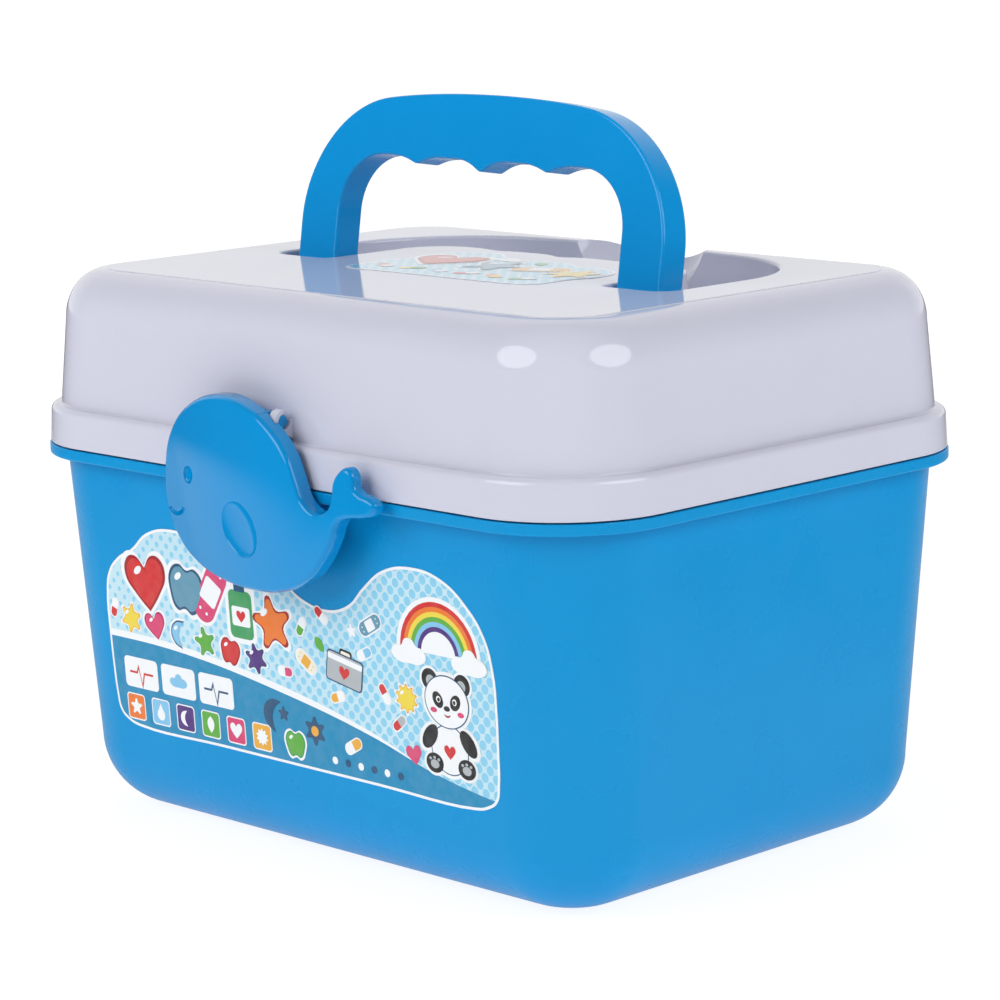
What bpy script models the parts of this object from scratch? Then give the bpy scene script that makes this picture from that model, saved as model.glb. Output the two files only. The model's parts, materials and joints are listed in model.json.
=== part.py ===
# Toy carrying case: tapered tub, lid with a recess for its folding handle, whale-shaped latch, two labels.
# Metres, +Z up, front towards -Y, origin at the middle of the tub's underside.

import math

import bmesh
import bpy
from mathutils import Vector

# Plan of the case, measured outside the lid's band
BAND_WIDTH = 0.2300
BAND_DEPTH = 0.1739
BAND_CORNER = 0.0330

# Heights of the closed case
RIM_TOP_Z = 0.1103
LID_RISE = 0.0504           # from the rim's top to the lid's flat top

# Tub
TUB_WALL = 0.0020
TUB_FLOOR = 0.0024
TUB_INSET = 0.0049          # wall line under the rim, behind the band's outside
TUB_TAPER = 0.0066          # lean of each wall from the rim to the underside
TUB_FLOOR_CORNER = 0.0250
TUB_FLOOR_FILLET = 0.0223
RIM_SKIRT_HEIGHT = 0.0032
RIM_FLARE = 0.0003          # how far the skirt's lower edge stands out past its top
RIM_SKIRT_WALL = 0.0016
RIM_EDGE_ROUND = 0.0006
RIM_FLANGE = 0.0019
UPSTAND_HEIGHT = 0.0040

# Lid
RIM_GAP = 0.0004            # dark line between the rim and the band
LID_WALL = 0.0020
BAND_HEIGHT = 0.0110
BAND_DRAFT = 0.0005
BAND_ROUND = 0.0020
LID_INSET = 0.0036
LID_TAPER = 0.0022
LID_FILLET_RUN = 0.0122
LID_FILLET_RISE = 0.0140
LID_INNER_FILLET_RUN = 0.0080
PLATEAU_STEP = 0.0002
PLATEAU_STEP_RUN = 0.0004

# Recess in the lid for the folded handle
RECESS_HALF_WIDTH = 0.0788
RECESS_FRONT_REACH = 0.0120
RECESS_BACK_REACH = 0.0656
RECESS_DEPTH = 0.0155
RECESS_DRAFT = 0.0007
RECESS_EDGE_ROUND = 0.0010
RECESS_FLOOR_ROUND = 0.0010
RECESS_FRONT_CORNER = 0.0060
RECESS_BACK_CORNER = 0.0420
RECESS_CROWN_RADIUS = 0.3000
SLOT_INNER_CORNER = 0.0030
ISLAND_GAP = 0.0016         # island's edge inside the folded handle

# Finger scoop behind the recess
SCOOP_RADIUS = 0.0303
SCOOP_CENTRE_Y = 0.0519
SCOOP_CENTRE_RISE = 0.0103  # ball's centre above the lid's top
SCOOP_WALL = 0.0020

# Handle, upright outline, heights measured from its pivot
HANDLE_THICKNESS = 0.0096
HANDLE_HALF_WIDTH = 0.0728
HANDLE_LEG_WIDTH = 0.0160
HANDLE_CROWN_HEIGHT = 0.0576
HANDLE_CROWN_RADIUS = 0.3000
HANDLE_OUTER_CORNER = 0.0380
HANDLE_INNER_CORNER = 0.0170
HANDLE_GRIP_DEPTH = 0.0192
HANDLE_FOOT = 0.0046
HANDLE_EDGE_ROUND = 0.0018
HANDLE_LEAN = math.radians(8.8)
GRIP_PITCH = 0.0262
GRIP_TIP_DEPTH = 0.0034
GRIP_SIDE_TIP_DEPTH = 0.0022
GRIP_TIP_SHARPNESS = 1.5

# Coring on the handle's back
CORE_WALL = 0.0026
CORE_FACE = 0.0032
CORE_RIB = 0.0016
CORE_RIB_COUNT = 14

# Handle's pivot pins
HANDLE_PIVOT_FORWARD = 0.0034
HANDLE_PIVOT_DEPTH = 0.0080
HANDLE_PIN_RADIUS = 0.0024
HANDLE_PIN_LENGTH = 0.0036
PIN_CLEARANCE = 0.0003

# Latch
WHALE_LENGTH = 0.0851
WHALE_HEIGHT = 0.0528
WHALE_HEAD_REACH = 0.0345   # head's end to the left of the case's middle
WHALE_DROP = 0.0287         # lowest point below the rim's top
WHALE_THICKNESS = 0.0053
WHALE_TAIL_THICKNESS = 0.0034
WHALE_FACE = 0.0020
WHALE_WALL = 0.0017
WHALE_EDGE_ROUND = 0.0016
WHALE_CLEARANCE = 0.0015    # back edge in front of the rim's widest line
LATCH_PIVOT_RISE = 0.0175   # pin's centre above the rim's top
LATCH_PIVOT_OUT = 0.0032    # pin's centre in front of the lid's wall
LATCH_PIN_RADIUS = 0.0019
LATCH_PIN_HALF_LENGTH = 0.0072
LATCH_ARM_INNER = 0.0012
LATCH_ARM_WIDTH = 0.0030
LATCH_ARM_RADIUS = 0.0028
LATCH_EAR_WIDTH = 0.0029
LATCH_EAR_RADIUS = 0.0034
LATCH_EAR_GUSSET = 0.0054
LATCH_SIDE_GAP = 0.0005     # between each arm and its ear
LATCH_RELIEF_GAP = 0.0006   # round the ears, cut in the whale's skirt
CATCH_HALF_WIDTH = 0.0140
CATCH_THICKNESS = 0.0022
CATCH_GAP = 0.0003

# Dimples on the latch's face
EYE_RADIUS_X = 0.0019
EYE_RADIUS_Z = 0.0025
FIN_RADIUS_LONG = 0.0082
FIN_RADIUS_SHORT = 0.0062
FIN_TURN = math.radians(38)
DIMPLE_DEPTH = 0.0007
SMILE_BEND = 0.0034
SMILE_RADIUS = 0.0006
SMILE_START = math.radians(205)
SMILE_END = math.radians(325)

# Lid hinge at the back
HINGE_SPREAD = 0.1240       # between the two hinges' middles
HINGE_PIN_RADIUS = 0.0020
HINGE_CLIP_RADIUS = 0.0038
HINGE_CLIP_WIDTH = 0.0160
HINGE_EAR_WIDTH = 0.0032
HINGE_SIDE_GAP = 0.0004
HINGE_BACK_GAP = 0.0006     # clip's round behind the rim's widest line
HINGE_BRACKET_DROP = 0.0125
HINGE_GUSSET_RISE = 0.0090
BRACKET_ROUND_START = math.radians(-50)
BRACKET_ROUND_END = math.radians(100)
CLIP_ROUND_START = math.radians(95)

# Snap openings of the hinge clips and the latch ears
SNAP_HALF_ANGLE = math.radians(42)
HINGE_MOUTH_ANGLE = math.radians(-60)
LATCH_MOUTH_ANGLE = math.radians(50)

# Labels
LABEL_THICKNESS = 0.0003
LABEL_GAP = 0.0003
FRONT_LABEL_WIDTH = 0.1600
FRONT_LABEL_HEIGHT = 0.0640
FRONT_LABEL_BOTTOM_Z = 0.0290
TOP_LABEL_WIDTH = 0.0800
TOP_LABEL_DEPTH = 0.0500
TOP_LABEL_FRONT_REACH = 0.0245

# Joint of two solids that a Boolean makes one, and overrun of a cut
ROOT = 0.0010
OVERRUN = 0.0040

# Facets
CORNER_STEPS = 7
FILLET_STEPS = 6
ROUND_STEPS = 3
ARC_STEPS = 8
GRIP_STEPS = 8
CURVE_STEPS = 3
PIN_SIDES = 20
SHARP_ANGLE = math.radians(32)

# Worked out from the sizes above
HALF_WIDTH = BAND_WIDTH / 2
HALF_DEPTH = BAND_DEPTH / 2
LID_TOP_Z = RIM_TOP_Z + LID_RISE
RIM_BOTTOM_Z = RIM_TOP_Z - RIM_SKIRT_HEIGHT
BAND_BOTTOM_Z = RIM_TOP_Z + RIM_GAP
BAND_TOP_Z = BAND_BOTTOM_Z + BAND_HEIGHT
RECESS_FLOOR_Z = LID_TOP_Z - RECESS_DEPTH
FILLET_FOOT_Z = LID_TOP_Z - PLATEAU_STEP - LID_FILLET_RISE
HANDLE_PIVOT_Y = -HANDLE_PIVOT_FORWARD
HANDLE_PIVOT_Z = LID_TOP_Z - HANDLE_PIVOT_DEPTH
GRIP_TOP = HANDLE_CROWN_HEIGHT - HANDLE_GRIP_DEPTH
LEG_INNER = HANDLE_HALF_WIDTH - HANDLE_LEG_WIDTH
HINGE_Y = HALF_DEPTH + RIM_FLARE + HINGE_BACK_GAP + HINGE_CLIP_RADIUS
HINGE_Z = RIM_TOP_Z - RIM_SKIRT_HEIGHT / 2
WHALE_BACK_Y = -(HALF_DEPTH + RIM_FLARE + WHALE_CLEARANCE)
WHALE_FRONT_Y = WHALE_BACK_Y - WHALE_THICKNESS
WHALE_BOTTOM_Z = RIM_TOP_Z - WHALE_DROP
LATCH_PIVOT_Z = RIM_TOP_Z + LATCH_PIVOT_RISE
LATCH_EAR_INNER = LATCH_ARM_INNER + LATCH_ARM_WIDTH + LATCH_SIDE_GAP

# Latch outline: shares of the whale's length and height, head to the left, clockwise from the brow
WHALE_OUTLINE_SHARES = (
    (0.000, 0.545), (0.038, 0.780), (0.136, 0.935), (0.276, 1.000), (0.409, 0.960), (0.520, 0.858),
    (0.592, 0.740), (0.632, 0.612), (0.665, 0.512), (0.719, 0.464), (0.770, 0.484), (0.798, 0.549),
    (0.807, 0.633), (0.833, 0.693), (0.871, 0.722), (0.899, 0.693), (0.906, 0.625), (0.929, 0.598),
    (0.974, 0.581), (1.000, 0.549), (0.986, 0.508), (0.928, 0.477), (0.864, 0.462), (0.823, 0.432),
    (0.795, 0.340), (0.748, 0.220), (0.673, 0.104), (0.562, 0.024), (0.419, 0.000), (0.276, 0.022),
    (0.153, 0.088), (0.059, 0.210), (0.010, 0.375))
TAIL_ROOT_SHARES = (0.735, 0.455)   # lower left corner of the thinner tail
HOLLOW_END_SHARES = (0.650, 0.400)  # the hollow follows the outline left of the first or below the second
EYE_SHARES = (0.124, 0.555)
FIN_SHARES = (0.367, 0.312)
SMILE_SHARES = (0.062, 0.403)

# Front label outline: shares of its width and height, from the lower left corner, counter-clockwise
FRONT_LABEL_SHARES = (
    (0.080, 0.000), (0.300, 0.000), (0.500, 0.000), (0.700, 0.000), (0.920, 0.000), (0.970, 0.006),
    (0.993, 0.040), (1.000, 0.110), (1.000, 0.280), (1.000, 0.450), (1.000, 0.610), (0.985, 0.750),
    (0.945, 0.880), (0.885, 0.970), (0.815, 1.000), (0.745, 0.960), (0.695, 0.870), (0.655, 0.780),
    (0.600, 0.740), (0.540, 0.765), (0.490, 0.830), (0.430, 0.860), (0.375, 0.840), (0.325, 0.870),
    (0.270, 0.935), (0.200, 0.965), (0.130, 0.925), (0.085, 0.840), (0.040, 0.800), (0.008, 0.720),
    (0.000, 0.600), (0.000, 0.450), (0.000, 0.280), (0.000, 0.110), (0.007, 0.040), (0.030, 0.006))

# Top label outline: shares of its width and depth, from the front left corner, counter-clockwise
TOP_LABEL_SHARES = (
    (0.010, 0.000), (0.500, 0.000), (0.900, 0.010), (0.965, 0.160), (0.950, 0.330), (1.000, 0.520),
    (0.960, 0.720), (0.860, 0.800), (0.740, 0.780), (0.640, 0.870), (0.520, 0.880), (0.430, 0.800),
    (0.330, 0.860), (0.210, 1.000), (0.090, 0.960), (0.020, 0.800), (0.045, 0.600), (0.000, 0.420),
    (0.030, 0.200))

BLUE = (0.016, 0.292, 0.672)
WHITE = (0.780, 0.780, 0.840)
LABEL_TEAL = (0.060, 0.520, 0.660)
LABEL_PALE = (0.760, 0.840, 0.860)


# Scene and material helpers

def clear_scene():
    for old in list(bpy.data.objects):
        bpy.data.objects.remove(old, do_unlink=True)


def make_material(name, colour, roughness):
    material = bpy.data.materials.new(name)
    material.use_nodes = True
    shader = material.node_tree.nodes["Principled BSDF"]
    shader.inputs["Base Color"].default_value = (*colour, 1.0)
    shader.inputs["Roughness"].default_value = roughness
    shader.inputs["Metallic"].default_value = 0.0
    return material


def make_object(name, bm, material=None):
    bmesh.ops.recalc_face_normals(bm, faces=bm.faces)
    mesh = bpy.data.meshes.new(name)
    bm.to_mesh(mesh)
    bm.free()
    mesh.shade_smooth()
    mesh.set_sharp_from_angle(angle=SHARP_ANGLE)
    made = bpy.data.objects.new(name, mesh)
    bpy.context.scene.collection.objects.link(made)
    if material:
        mesh.materials.append(material)
    return made


def make_helper(name, bm):
    helper = make_object(name, bm)
    helper.hide_render = True
    helper.display_type = "WIRE"
    return helper


def combine(target, helper, operation):
    modifier = target.modifiers.new(helper.name, "BOOLEAN")
    modifier.object = helper
    modifier.operation = operation
    modifier.solver = "EXACT"


# Plan curves, as lists of (u, v)

def arc(centre, radius, start, end, steps):
    points = []
    for step in range(steps + 1):
        angle = start + (end - start) * step / steps
        points.append((centre[0] + radius * math.cos(angle), centre[1] + radius * math.sin(angle)))
    return points


def rounded_rectangle(half_x, half_y, radius):
    quarter = math.pi / 2
    points = []
    for index, (sign_x, sign_y) in enumerate(((1, -1), (1, 1), (-1, 1), (-1, -1))):
        centre = (sign_x * (half_x - radius), sign_y * (half_y - radius))
        start = (index - 1) * quarter
        points += arc(centre, radius, start, start + quarter, CORNER_STEPS)
    return points


def smooth_loop(points, steps):
    # Closed Catmull-Rom curve through the points
    count = len(points)
    loop = []
    for index in range(count):
        p0, p1, p2, p3 = (Vector(points[(index + shift) % count]) for shift in (-1, 0, 1, 2))
        for step in range(steps):
            t = step / steps
            point = (2 * p1 + (p2 - p0) * t + (2 * p0 - 5 * p1 + 4 * p2 - p3) * t * t
                     + (3 * p1 - p0 - 3 * p2 + p3) * t * t * t) / 2
            loop.append((point.x, point.y))
    return loop


def turned_area(points):
    return sum(a[0] * b[1] - b[0] * a[1] for a, b in zip(points, points[1:] + points[:1])) / 2


def offset_loop(points, distance):
    # Moves a closed loop outwards, point by point, with mitred corners
    side = 1 if turned_area(points) > 0 else -1
    moved = []
    for index, point in enumerate(points):
        here = Vector(point)
        back = (here - Vector(points[index - 1])).normalized()
        ahead = (Vector(points[(index + 1) % len(points)]) - here).normalized()
        out_back = Vector((back.y, -back.x)) * side
        out_ahead = Vector((ahead.y, -ahead.x)) * side
        middle = (out_back + out_ahead).normalized()
        shift = middle * (distance / max(middle.dot(out_ahead), 0.5))
        moved.append((here.x + shift.x, here.y + shift.y))
    return moved


# Solids from loops

def add_ring(bm, points):
    return [bm.verts.new(point) for point in points]


def bridge(bm, rings):
    for lower, upper in zip(rings, rings[1:]):
        for index in range(len(lower)):
            after = (index + 1) % len(lower)
            bm.faces.new((lower[index], lower[after], upper[after], upper[index]))


def ring_edges(bm, ring):
    edges = []
    for index, vert in enumerate(ring):
        edges.append(bm.edges.get((vert, ring[(index + 1) % len(ring)])))
    return edges


def fill_between(bm, *rings):
    edges = [edge for ring in rings for edge in ring_edges(bm, ring)]
    bmesh.ops.triangle_fill(bm, use_beauty=True, use_dissolve=False, edges=edges)


def loft(sections):
    # Closed solid through sections of equal point counts, flat at both ends
    bm = bmesh.new()
    rings = [add_ring(bm, section) for section in sections]
    bridge(bm, rings)
    fill_between(bm, rings[0])
    fill_between(bm, rings[-1])
    return bm


def level(points, z):
    return [(x, y, z) for x, y in points]


def upright(points, y):
    return [(x, y, z) for x, z in points]


def across(points, x):
    return [(x, y, z) for y, z in points]


def plate_between(points, place, low, high):
    return loft((place(points, low), place(points, high)))


def join_solids(solids):
    joined = bmesh.new()
    for solid in solids:
        mesh = bpy.data.meshes.new("solid")
        bmesh.ops.recalc_face_normals(solid, faces=solid.faces)
        solid.to_mesh(mesh)
        solid.free()
        joined.from_mesh(mesh)
        bpy.data.meshes.remove(mesh)
    return joined


def rod(centre_y, centre_z, radius, low_x, high_x):
    circle = arc((centre_y, centre_z), radius, 0, math.tau, PIN_SIDES)[:-1]
    return plate_between(circle, across, low_x, high_x)


# Tub

def case_plan(inset, corner=None):
    radius = BAND_CORNER - inset if corner is None else corner
    return rounded_rectangle(HALF_WIDTH - inset, HALF_DEPTH - inset, radius)


def tub_plan(z, more_inset):
    down = 1 - z / RIM_BOTTOM_Z
    inset = TUB_INSET + TUB_TAPER * down + more_inset
    top_corner = BAND_CORNER - TUB_INSET
    corner = top_corner + (TUB_FLOOR_CORNER - top_corner) * down - more_inset
    return case_plan(inset, corner)


def tub_side(underside_z, fillet, wall):
    # Sections from the flat of the floor up to the foot of the straight wall
    sections = []
    for step in range(FILLET_STEPS + 1):
        angle = math.pi / 2 * (1 - step / FILLET_STEPS)
        z = underside_z + fillet * (1 - math.sin(angle))
        sections.append(level(tub_plan(z, wall + fillet * (1 - math.cos(angle))), z))
    return sections


def build_tub(material):
    flange_z = RIM_TOP_Z - RIM_FLANGE
    upstand_z = RIM_TOP_Z + UPSTAND_HEIGHT
    outside = tub_side(0, TUB_FLOOR_FILLET, 0)
    outside.append(level(case_plan(TUB_INSET), flange_z))
    outside.append(level(case_plan(RIM_SKIRT_WALL - RIM_FLARE), flange_z))
    outside.append(level(case_plan(RIM_SKIRT_WALL - RIM_FLARE), RIM_BOTTOM_Z))
    outside.append(level(case_plan(RIM_EDGE_ROUND - RIM_FLARE), RIM_BOTTOM_Z))
    outside.append(level(case_plan(-RIM_FLARE), RIM_BOTTOM_Z + RIM_EDGE_ROUND))
    outside.append(level(case_plan(0), RIM_TOP_Z))
    outside.append(level(case_plan(TUB_INSET), RIM_TOP_Z))
    outside.append(level(case_plan(TUB_INSET), upstand_z))
    inside = tub_side(TUB_FLOOR, TUB_FLOOR_FILLET - TUB_WALL, TUB_WALL)
    inside.append(level(case_plan(TUB_INSET + TUB_WALL), upstand_z))
    tub = make_object("tub", loft(outside + inside[::-1]), material)
    for side in (-1, 1):
        combine(tub, build_hinge_bracket(side), "UNION")
    return tub


def build_hinge_bracket(side):
    axis = (HINGE_Y, HINGE_Z)
    foot_z = HINGE_Z - HINGE_BRACKET_DROP
    wall_y = HALF_DEPTH - TUB_INSET - TUB_WALL / 2
    outline = [(wall_y - TUB_TAPER * (1 - foot_z / RIM_BOTTOM_Z), foot_z)]
    outline += arc(axis, HINGE_CLIP_RADIUS, BRACKET_ROUND_START, BRACKET_ROUND_END, ARC_STEPS)
    outline += [(HALF_DEPTH + RIM_FLARE / 2, RIM_TOP_Z), (HALF_DEPTH - ROOT, RIM_TOP_Z - RIM_GAP)]
    outline.append((wall_y, RIM_TOP_Z - RIM_FLANGE / 2))
    middle = side * HINGE_SPREAD / 2
    inner = HINGE_CLIP_WIDTH / 2 + HINGE_SIDE_GAP
    left_ear = plate_between(outline, across, middle - inner - HINGE_EAR_WIDTH, middle - inner)
    right_ear = plate_between(outline, across, middle + inner, middle + inner + HINGE_EAR_WIDTH)
    bracket = make_helper(f"hinge_ears_{side}", join_solids((left_ear, right_ear)))
    pin_reach = inner + HINGE_EAR_WIDTH / 2
    pin = rod(HINGE_Y, HINGE_Z, HINGE_PIN_RADIUS, middle - pin_reach, middle + pin_reach)
    combine(bracket, make_helper(f"hinge_pin_{side}", pin), "UNION")
    return bracket


# Lid

def grip_wave(x):
    # Depth of the finger grips' tips below the scallops, at a place across the handle
    nearest = round(x / GRIP_PITCH)
    depth = GRIP_TIP_DEPTH if nearest == 0 else GRIP_SIDE_TIP_DEPTH
    if abs(nearest) > 1:
        return 0
    return depth * (1 - abs(math.sin(math.pi * x / GRIP_PITCH))) ** GRIP_TIP_SHARPNESS


def inner_arch(foot, clearance):
    # Inside line of the handle from its right foot over the grips to its left foot
    half = LEG_INNER - clearance
    corner = HANDLE_INNER_CORNER - clearance
    top = GRIP_TOP - clearance
    flat = half - corner
    count = 2 * round(flat / GRIP_PITCH * GRIP_STEPS)
    right = arc((flat, top - corner), corner, 0, math.pi / 2, ARC_STEPS)
    grips = []
    for step in range(1, count):
        x = flat * (1 - 2 * step / count)
        grips.append((x, top - grip_wave(x)))
    left = [(-x, z) for x, z in reversed(right)]
    return [(half, foot)] + right + grips + left + [(-half, foot)]


def arch(half, corner, crown_radius, crown, foot):
    # Outside line of an arch from its right foot over the crown to its left foot
    centre_x = half - corner
    crown_centre = crown - crown_radius
    centre_z = crown_centre + math.sqrt((crown_radius - corner) ** 2 - centre_x ** 2)
    lean = math.asin(centre_x / (crown_radius - corner))
    right = arc((centre_x, centre_z), corner, 0, math.pi / 2 - lean, ARC_STEPS)
    crown_line = arc((0, crown_centre), crown_radius, math.pi / 2 - lean, math.pi / 2 + lean, ARC_STEPS)
    left = [(-x, z) for x, z in reversed(right)]
    return [(half, foot)] + right + crown_line[1:-1] + left + [(-half, foot)]


def recess_outline():
    # Horseshoe that holds the folded handle: outside arch, then back round the island
    quarter = math.pi / 2
    corner = RECESS_FRONT_CORNER
    outer = arch(RECESS_HALF_WIDTH, RECESS_BACK_CORNER, RECESS_CROWN_RADIUS, RECESS_BACK_REACH, 0)[1:-1]
    front_y = corner - RECESS_FRONT_REACH
    right_x = RECESS_HALF_WIDTH - corner
    right_front = arc((right_x, front_y), corner, -quarter, 0, CORNER_STEPS)
    island = [(x, y + HANDLE_PIVOT_Y) for x, y in inner_arch(0, ISLAND_GAP)][1:-1]
    slot_x = LEG_INNER - ISLAND_GAP + SLOT_INNER_CORNER
    slot_y = SLOT_INNER_CORNER - RECESS_FRONT_REACH
    slot_corner = arc((slot_x, slot_y), SLOT_INNER_CORNER, 2 * quarter, 3 * quarter, CORNER_STEPS)
    left_front = [(-x, y) for x, y in reversed(right_front)]
    left_slot = [(-x, y) for x, y in reversed(slot_corner)]
    return right_front + outer + left_front + left_slot + island[::-1] + slot_corner


def recess_sections(outline):
    # Rounded edge at the top, drafted walls, small round at the floor
    sections = []
    for step in range(ROUND_STEPS + 1):
        angle = math.pi / 2 * step / ROUND_STEPS
        grow = RECESS_EDGE_ROUND * (1 - math.sin(angle))
        z = LID_TOP_Z - RECESS_EDGE_ROUND * (1 - math.cos(angle))
        sections.append(level(offset_loop(outline, grow), z))
    foot_z = RECESS_FLOOR_Z + RECESS_FLOOR_ROUND
    sections.append(level(offset_loop(outline, -RECESS_DRAFT), foot_z))
    sections.append(level(offset_loop(outline, -RECESS_DRAFT - RECESS_FLOOR_ROUND), RECESS_FLOOR_Z))
    return sections


def lid_outside(shrink=0):
    # Sections of the lid's outside from the band's lower edge to the flat of the top
    sections = [level(case_plan(shrink), BAND_BOTTOM_Z)]
    for step in range(ROUND_STEPS + 1):
        angle = math.pi / 2 * step / ROUND_STEPS
        inset = BAND_DRAFT + BAND_ROUND * (1 - math.cos(angle)) + shrink
        sections.append(level(case_plan(inset), BAND_TOP_Z - BAND_ROUND * (1 - math.sin(angle)) - shrink))
    sections.append(level(case_plan(LID_INSET + shrink), BAND_TOP_Z - shrink))
    wall_inset = LID_INSET + LID_TAPER + shrink
    for step in range(FILLET_STEPS + 1):
        angle = math.pi / 2 * step / FILLET_STEPS
        inset = wall_inset + LID_FILLET_RUN * (1 - math.cos(angle))
        sections.append(level(case_plan(inset), FILLET_FOOT_Z + LID_FILLET_RISE * math.sin(angle) - shrink))
    edge = wall_inset + LID_FILLET_RUN + PLATEAU_STEP_RUN
    sections.append(level(case_plan(edge), LID_TOP_Z - shrink))
    return sections


def lid_inside():
    # Sections of the lid's inside from the flat under the top to the band's lower edge
    sections = []
    wall_inset = LID_INSET + LID_TAPER + LID_WALL
    rise = LID_TOP_Z - LID_WALL - FILLET_FOOT_Z
    for step in range(FILLET_STEPS, -1, -1):
        angle = math.pi / 2 * step / FILLET_STEPS
        inset = wall_inset + LID_INNER_FILLET_RUN * (1 - math.cos(angle))
        sections.append(level(case_plan(inset), FILLET_FOOT_Z + rise * math.sin(angle)))
    sections.append(level(case_plan(LID_INSET + LID_WALL), BAND_TOP_Z - LID_WALL))
    sections.append(level(case_plan(BAND_DRAFT + LID_WALL), BAND_TOP_Z - LID_WALL))
    sections.append(level(case_plan(LID_WALL), BAND_BOTTOM_Z))
    return sections


def lid_shell():
    outline = recess_outline()
    bm = bmesh.new()
    outside = [add_ring(bm, section) for section in lid_outside()]
    inside = [add_ring(bm, section) for section in lid_inside()]
    bridge(bm, outside)
    bridge(bm, inside)
    bridge(bm, (inside[-1], outside[0]))
    pan_top = [add_ring(bm, section) for section in recess_sections(outline)]
    bridge(bm, pan_top)
    fill_between(bm, pan_top[-1])
    fill_between(bm, outside[-1], pan_top[0])
    under_z = RECESS_FLOOR_Z - LID_WALL
    pan_under = [add_ring(bm, level(offset_loop(outline, LID_WALL), LID_TOP_Z - LID_WALL)),
                 add_ring(bm, level(offset_loop(outline, LID_WALL - RECESS_DRAFT), under_z))]
    bridge(bm, pan_under)
    fill_between(bm, pan_under[-1])
    fill_between(bm, inside[0], pan_under[0])
    return bm


def scoop_ball(radius, floor_z, front_y):
    ball = bmesh.new()
    bmesh.ops.create_uvsphere(ball, u_segments=32, v_segments=20, radius=radius)
    centre = Vector((0, SCOOP_CENTRE_Y, LID_TOP_Z + SCOOP_CENTRE_RISE))
    bmesh.ops.translate(ball, verts=ball.verts, vec=centre)
    for plane, normal in (((0, 0, floor_z), (0, 0, -1)), ((0, front_y, 0), (0, -1, 0))):
        geometry = ball.verts[:] + ball.edges[:] + ball.faces[:]
        cut = bmesh.ops.bisect_plane(ball, geom=geometry, plane_co=plane, plane_no=normal, clear_outer=True)
        edges = [item for item in cut["geom_cut"] if isinstance(item, bmesh.types.BMEdge)]
        bmesh.ops.contextual_create(ball, geom=edges)
    return ball


def build_scoop_pad():
    # Wall under the scoop, kept inside the lid's skin and behind the recess
    front_y = SCOOP_CENTRE_Y + ROOT
    ball = scoop_ball(SCOOP_RADIUS + SCOOP_WALL, RECESS_FLOOR_Z - SCOOP_WALL, front_y)
    pad = make_helper("scoop_pad", ball)
    combine(pad, make_helper("lid_envelope", loft(lid_outside(LID_WALL / 4))), "INTERSECT")
    outline = recess_outline()
    space = loft((level(offset_loop(outline, LID_WALL / 2), LID_TOP_Z + OVERRUN),
                  level(offset_loop(outline, LID_WALL / 2), RECESS_FLOOR_Z + RECESS_EDGE_ROUND),
                  level(offset_loop(outline, LID_WALL / 2 - RECESS_DRAFT), RECESS_FLOOR_Z - LID_WALL / 2)))
    combine(pad, make_helper("recess_space", space), "DIFFERENCE")
    return pad


def snap_clip(axis, inner, outer, mouth, start, end, root):
    # Open round clip on its root: mouth is its middle angle, the root joins between start and end
    mouth_start = mouth + SNAP_HALF_ANGLE
    mouth_end = mouth - SNAP_HALF_ANGLE + math.tau
    outline = arc(axis, inner, mouth_end, mouth_start, 2 * ARC_STEPS)
    outline += arc(axis, outer, mouth_start, start, ARC_STEPS)
    outline += root
    outline += arc(axis, outer, end, mouth_end, ARC_STEPS)
    return outline


def build_hinge_clip(side):
    axis = (HINGE_Y, HINGE_Z)
    root_y = HALF_DEPTH - BAND_DRAFT - LID_WALL / 2
    low_z = BAND_BOTTOM_Z + RIM_GAP
    end = math.pi - math.asin((low_z - HINGE_Z) / HINGE_CLIP_RADIUS)
    root = [(root_y, HINGE_Z + HINGE_GUSSET_RISE), (root_y, low_z)]
    outline = snap_clip(axis, HINGE_PIN_RADIUS + PIN_CLEARANCE, HINGE_CLIP_RADIUS,
                        HINGE_MOUTH_ANGLE, CLIP_ROUND_START, end, root)
    middle = side * HINGE_SPREAD / 2
    half = HINGE_CLIP_WIDTH / 2
    return make_helper(f"hinge_clip_{side}", plate_between(outline, across, middle - half, middle + half))


def lid_wall_y(z):
    up = (z - BAND_TOP_Z) / (FILLET_FOOT_Z - BAND_TOP_Z)
    return HALF_DEPTH - LID_INSET - LID_TAPER * up


LATCH_PIVOT_Y = -lid_wall_y(LATCH_PIVOT_Z) - LATCH_PIVOT_OUT


def build_latch_ear(side):
    # Hooked cradle on the lid's wall, open upwards and towards the wall, which lies at angle zero
    axis = (LATCH_PIVOT_Y, LATCH_PIVOT_Z)
    root_y = -lid_wall_y(LATCH_PIVOT_Z) + LID_WALL / 2
    mouth_low = LATCH_MOUTH_ANGLE - SNAP_HALF_ANGLE
    mouth_high = LATCH_MOUTH_ANGLE + SNAP_HALF_ANGLE
    outline = arc(axis, LATCH_PIN_RADIUS + PIN_CLEARANCE, mouth_low + math.tau, mouth_high, 2 * ARC_STEPS)
    outline += arc(axis, LATCH_EAR_RADIUS, mouth_high, 3 * math.pi / 2, ARC_STEPS)
    outline.append((root_y, LATCH_PIVOT_Z - LATCH_EAR_GUSSET))
    outline.append((root_y, LATCH_PIVOT_Z + LATCH_EAR_RADIUS * math.sin(mouth_low)))
    low, high = sorted((side * LATCH_EAR_INNER, side * (LATCH_EAR_INNER + LATCH_EAR_WIDTH)))
    return make_helper(f"latch_ear_{side}", plate_between(outline, across, low, high))


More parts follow.
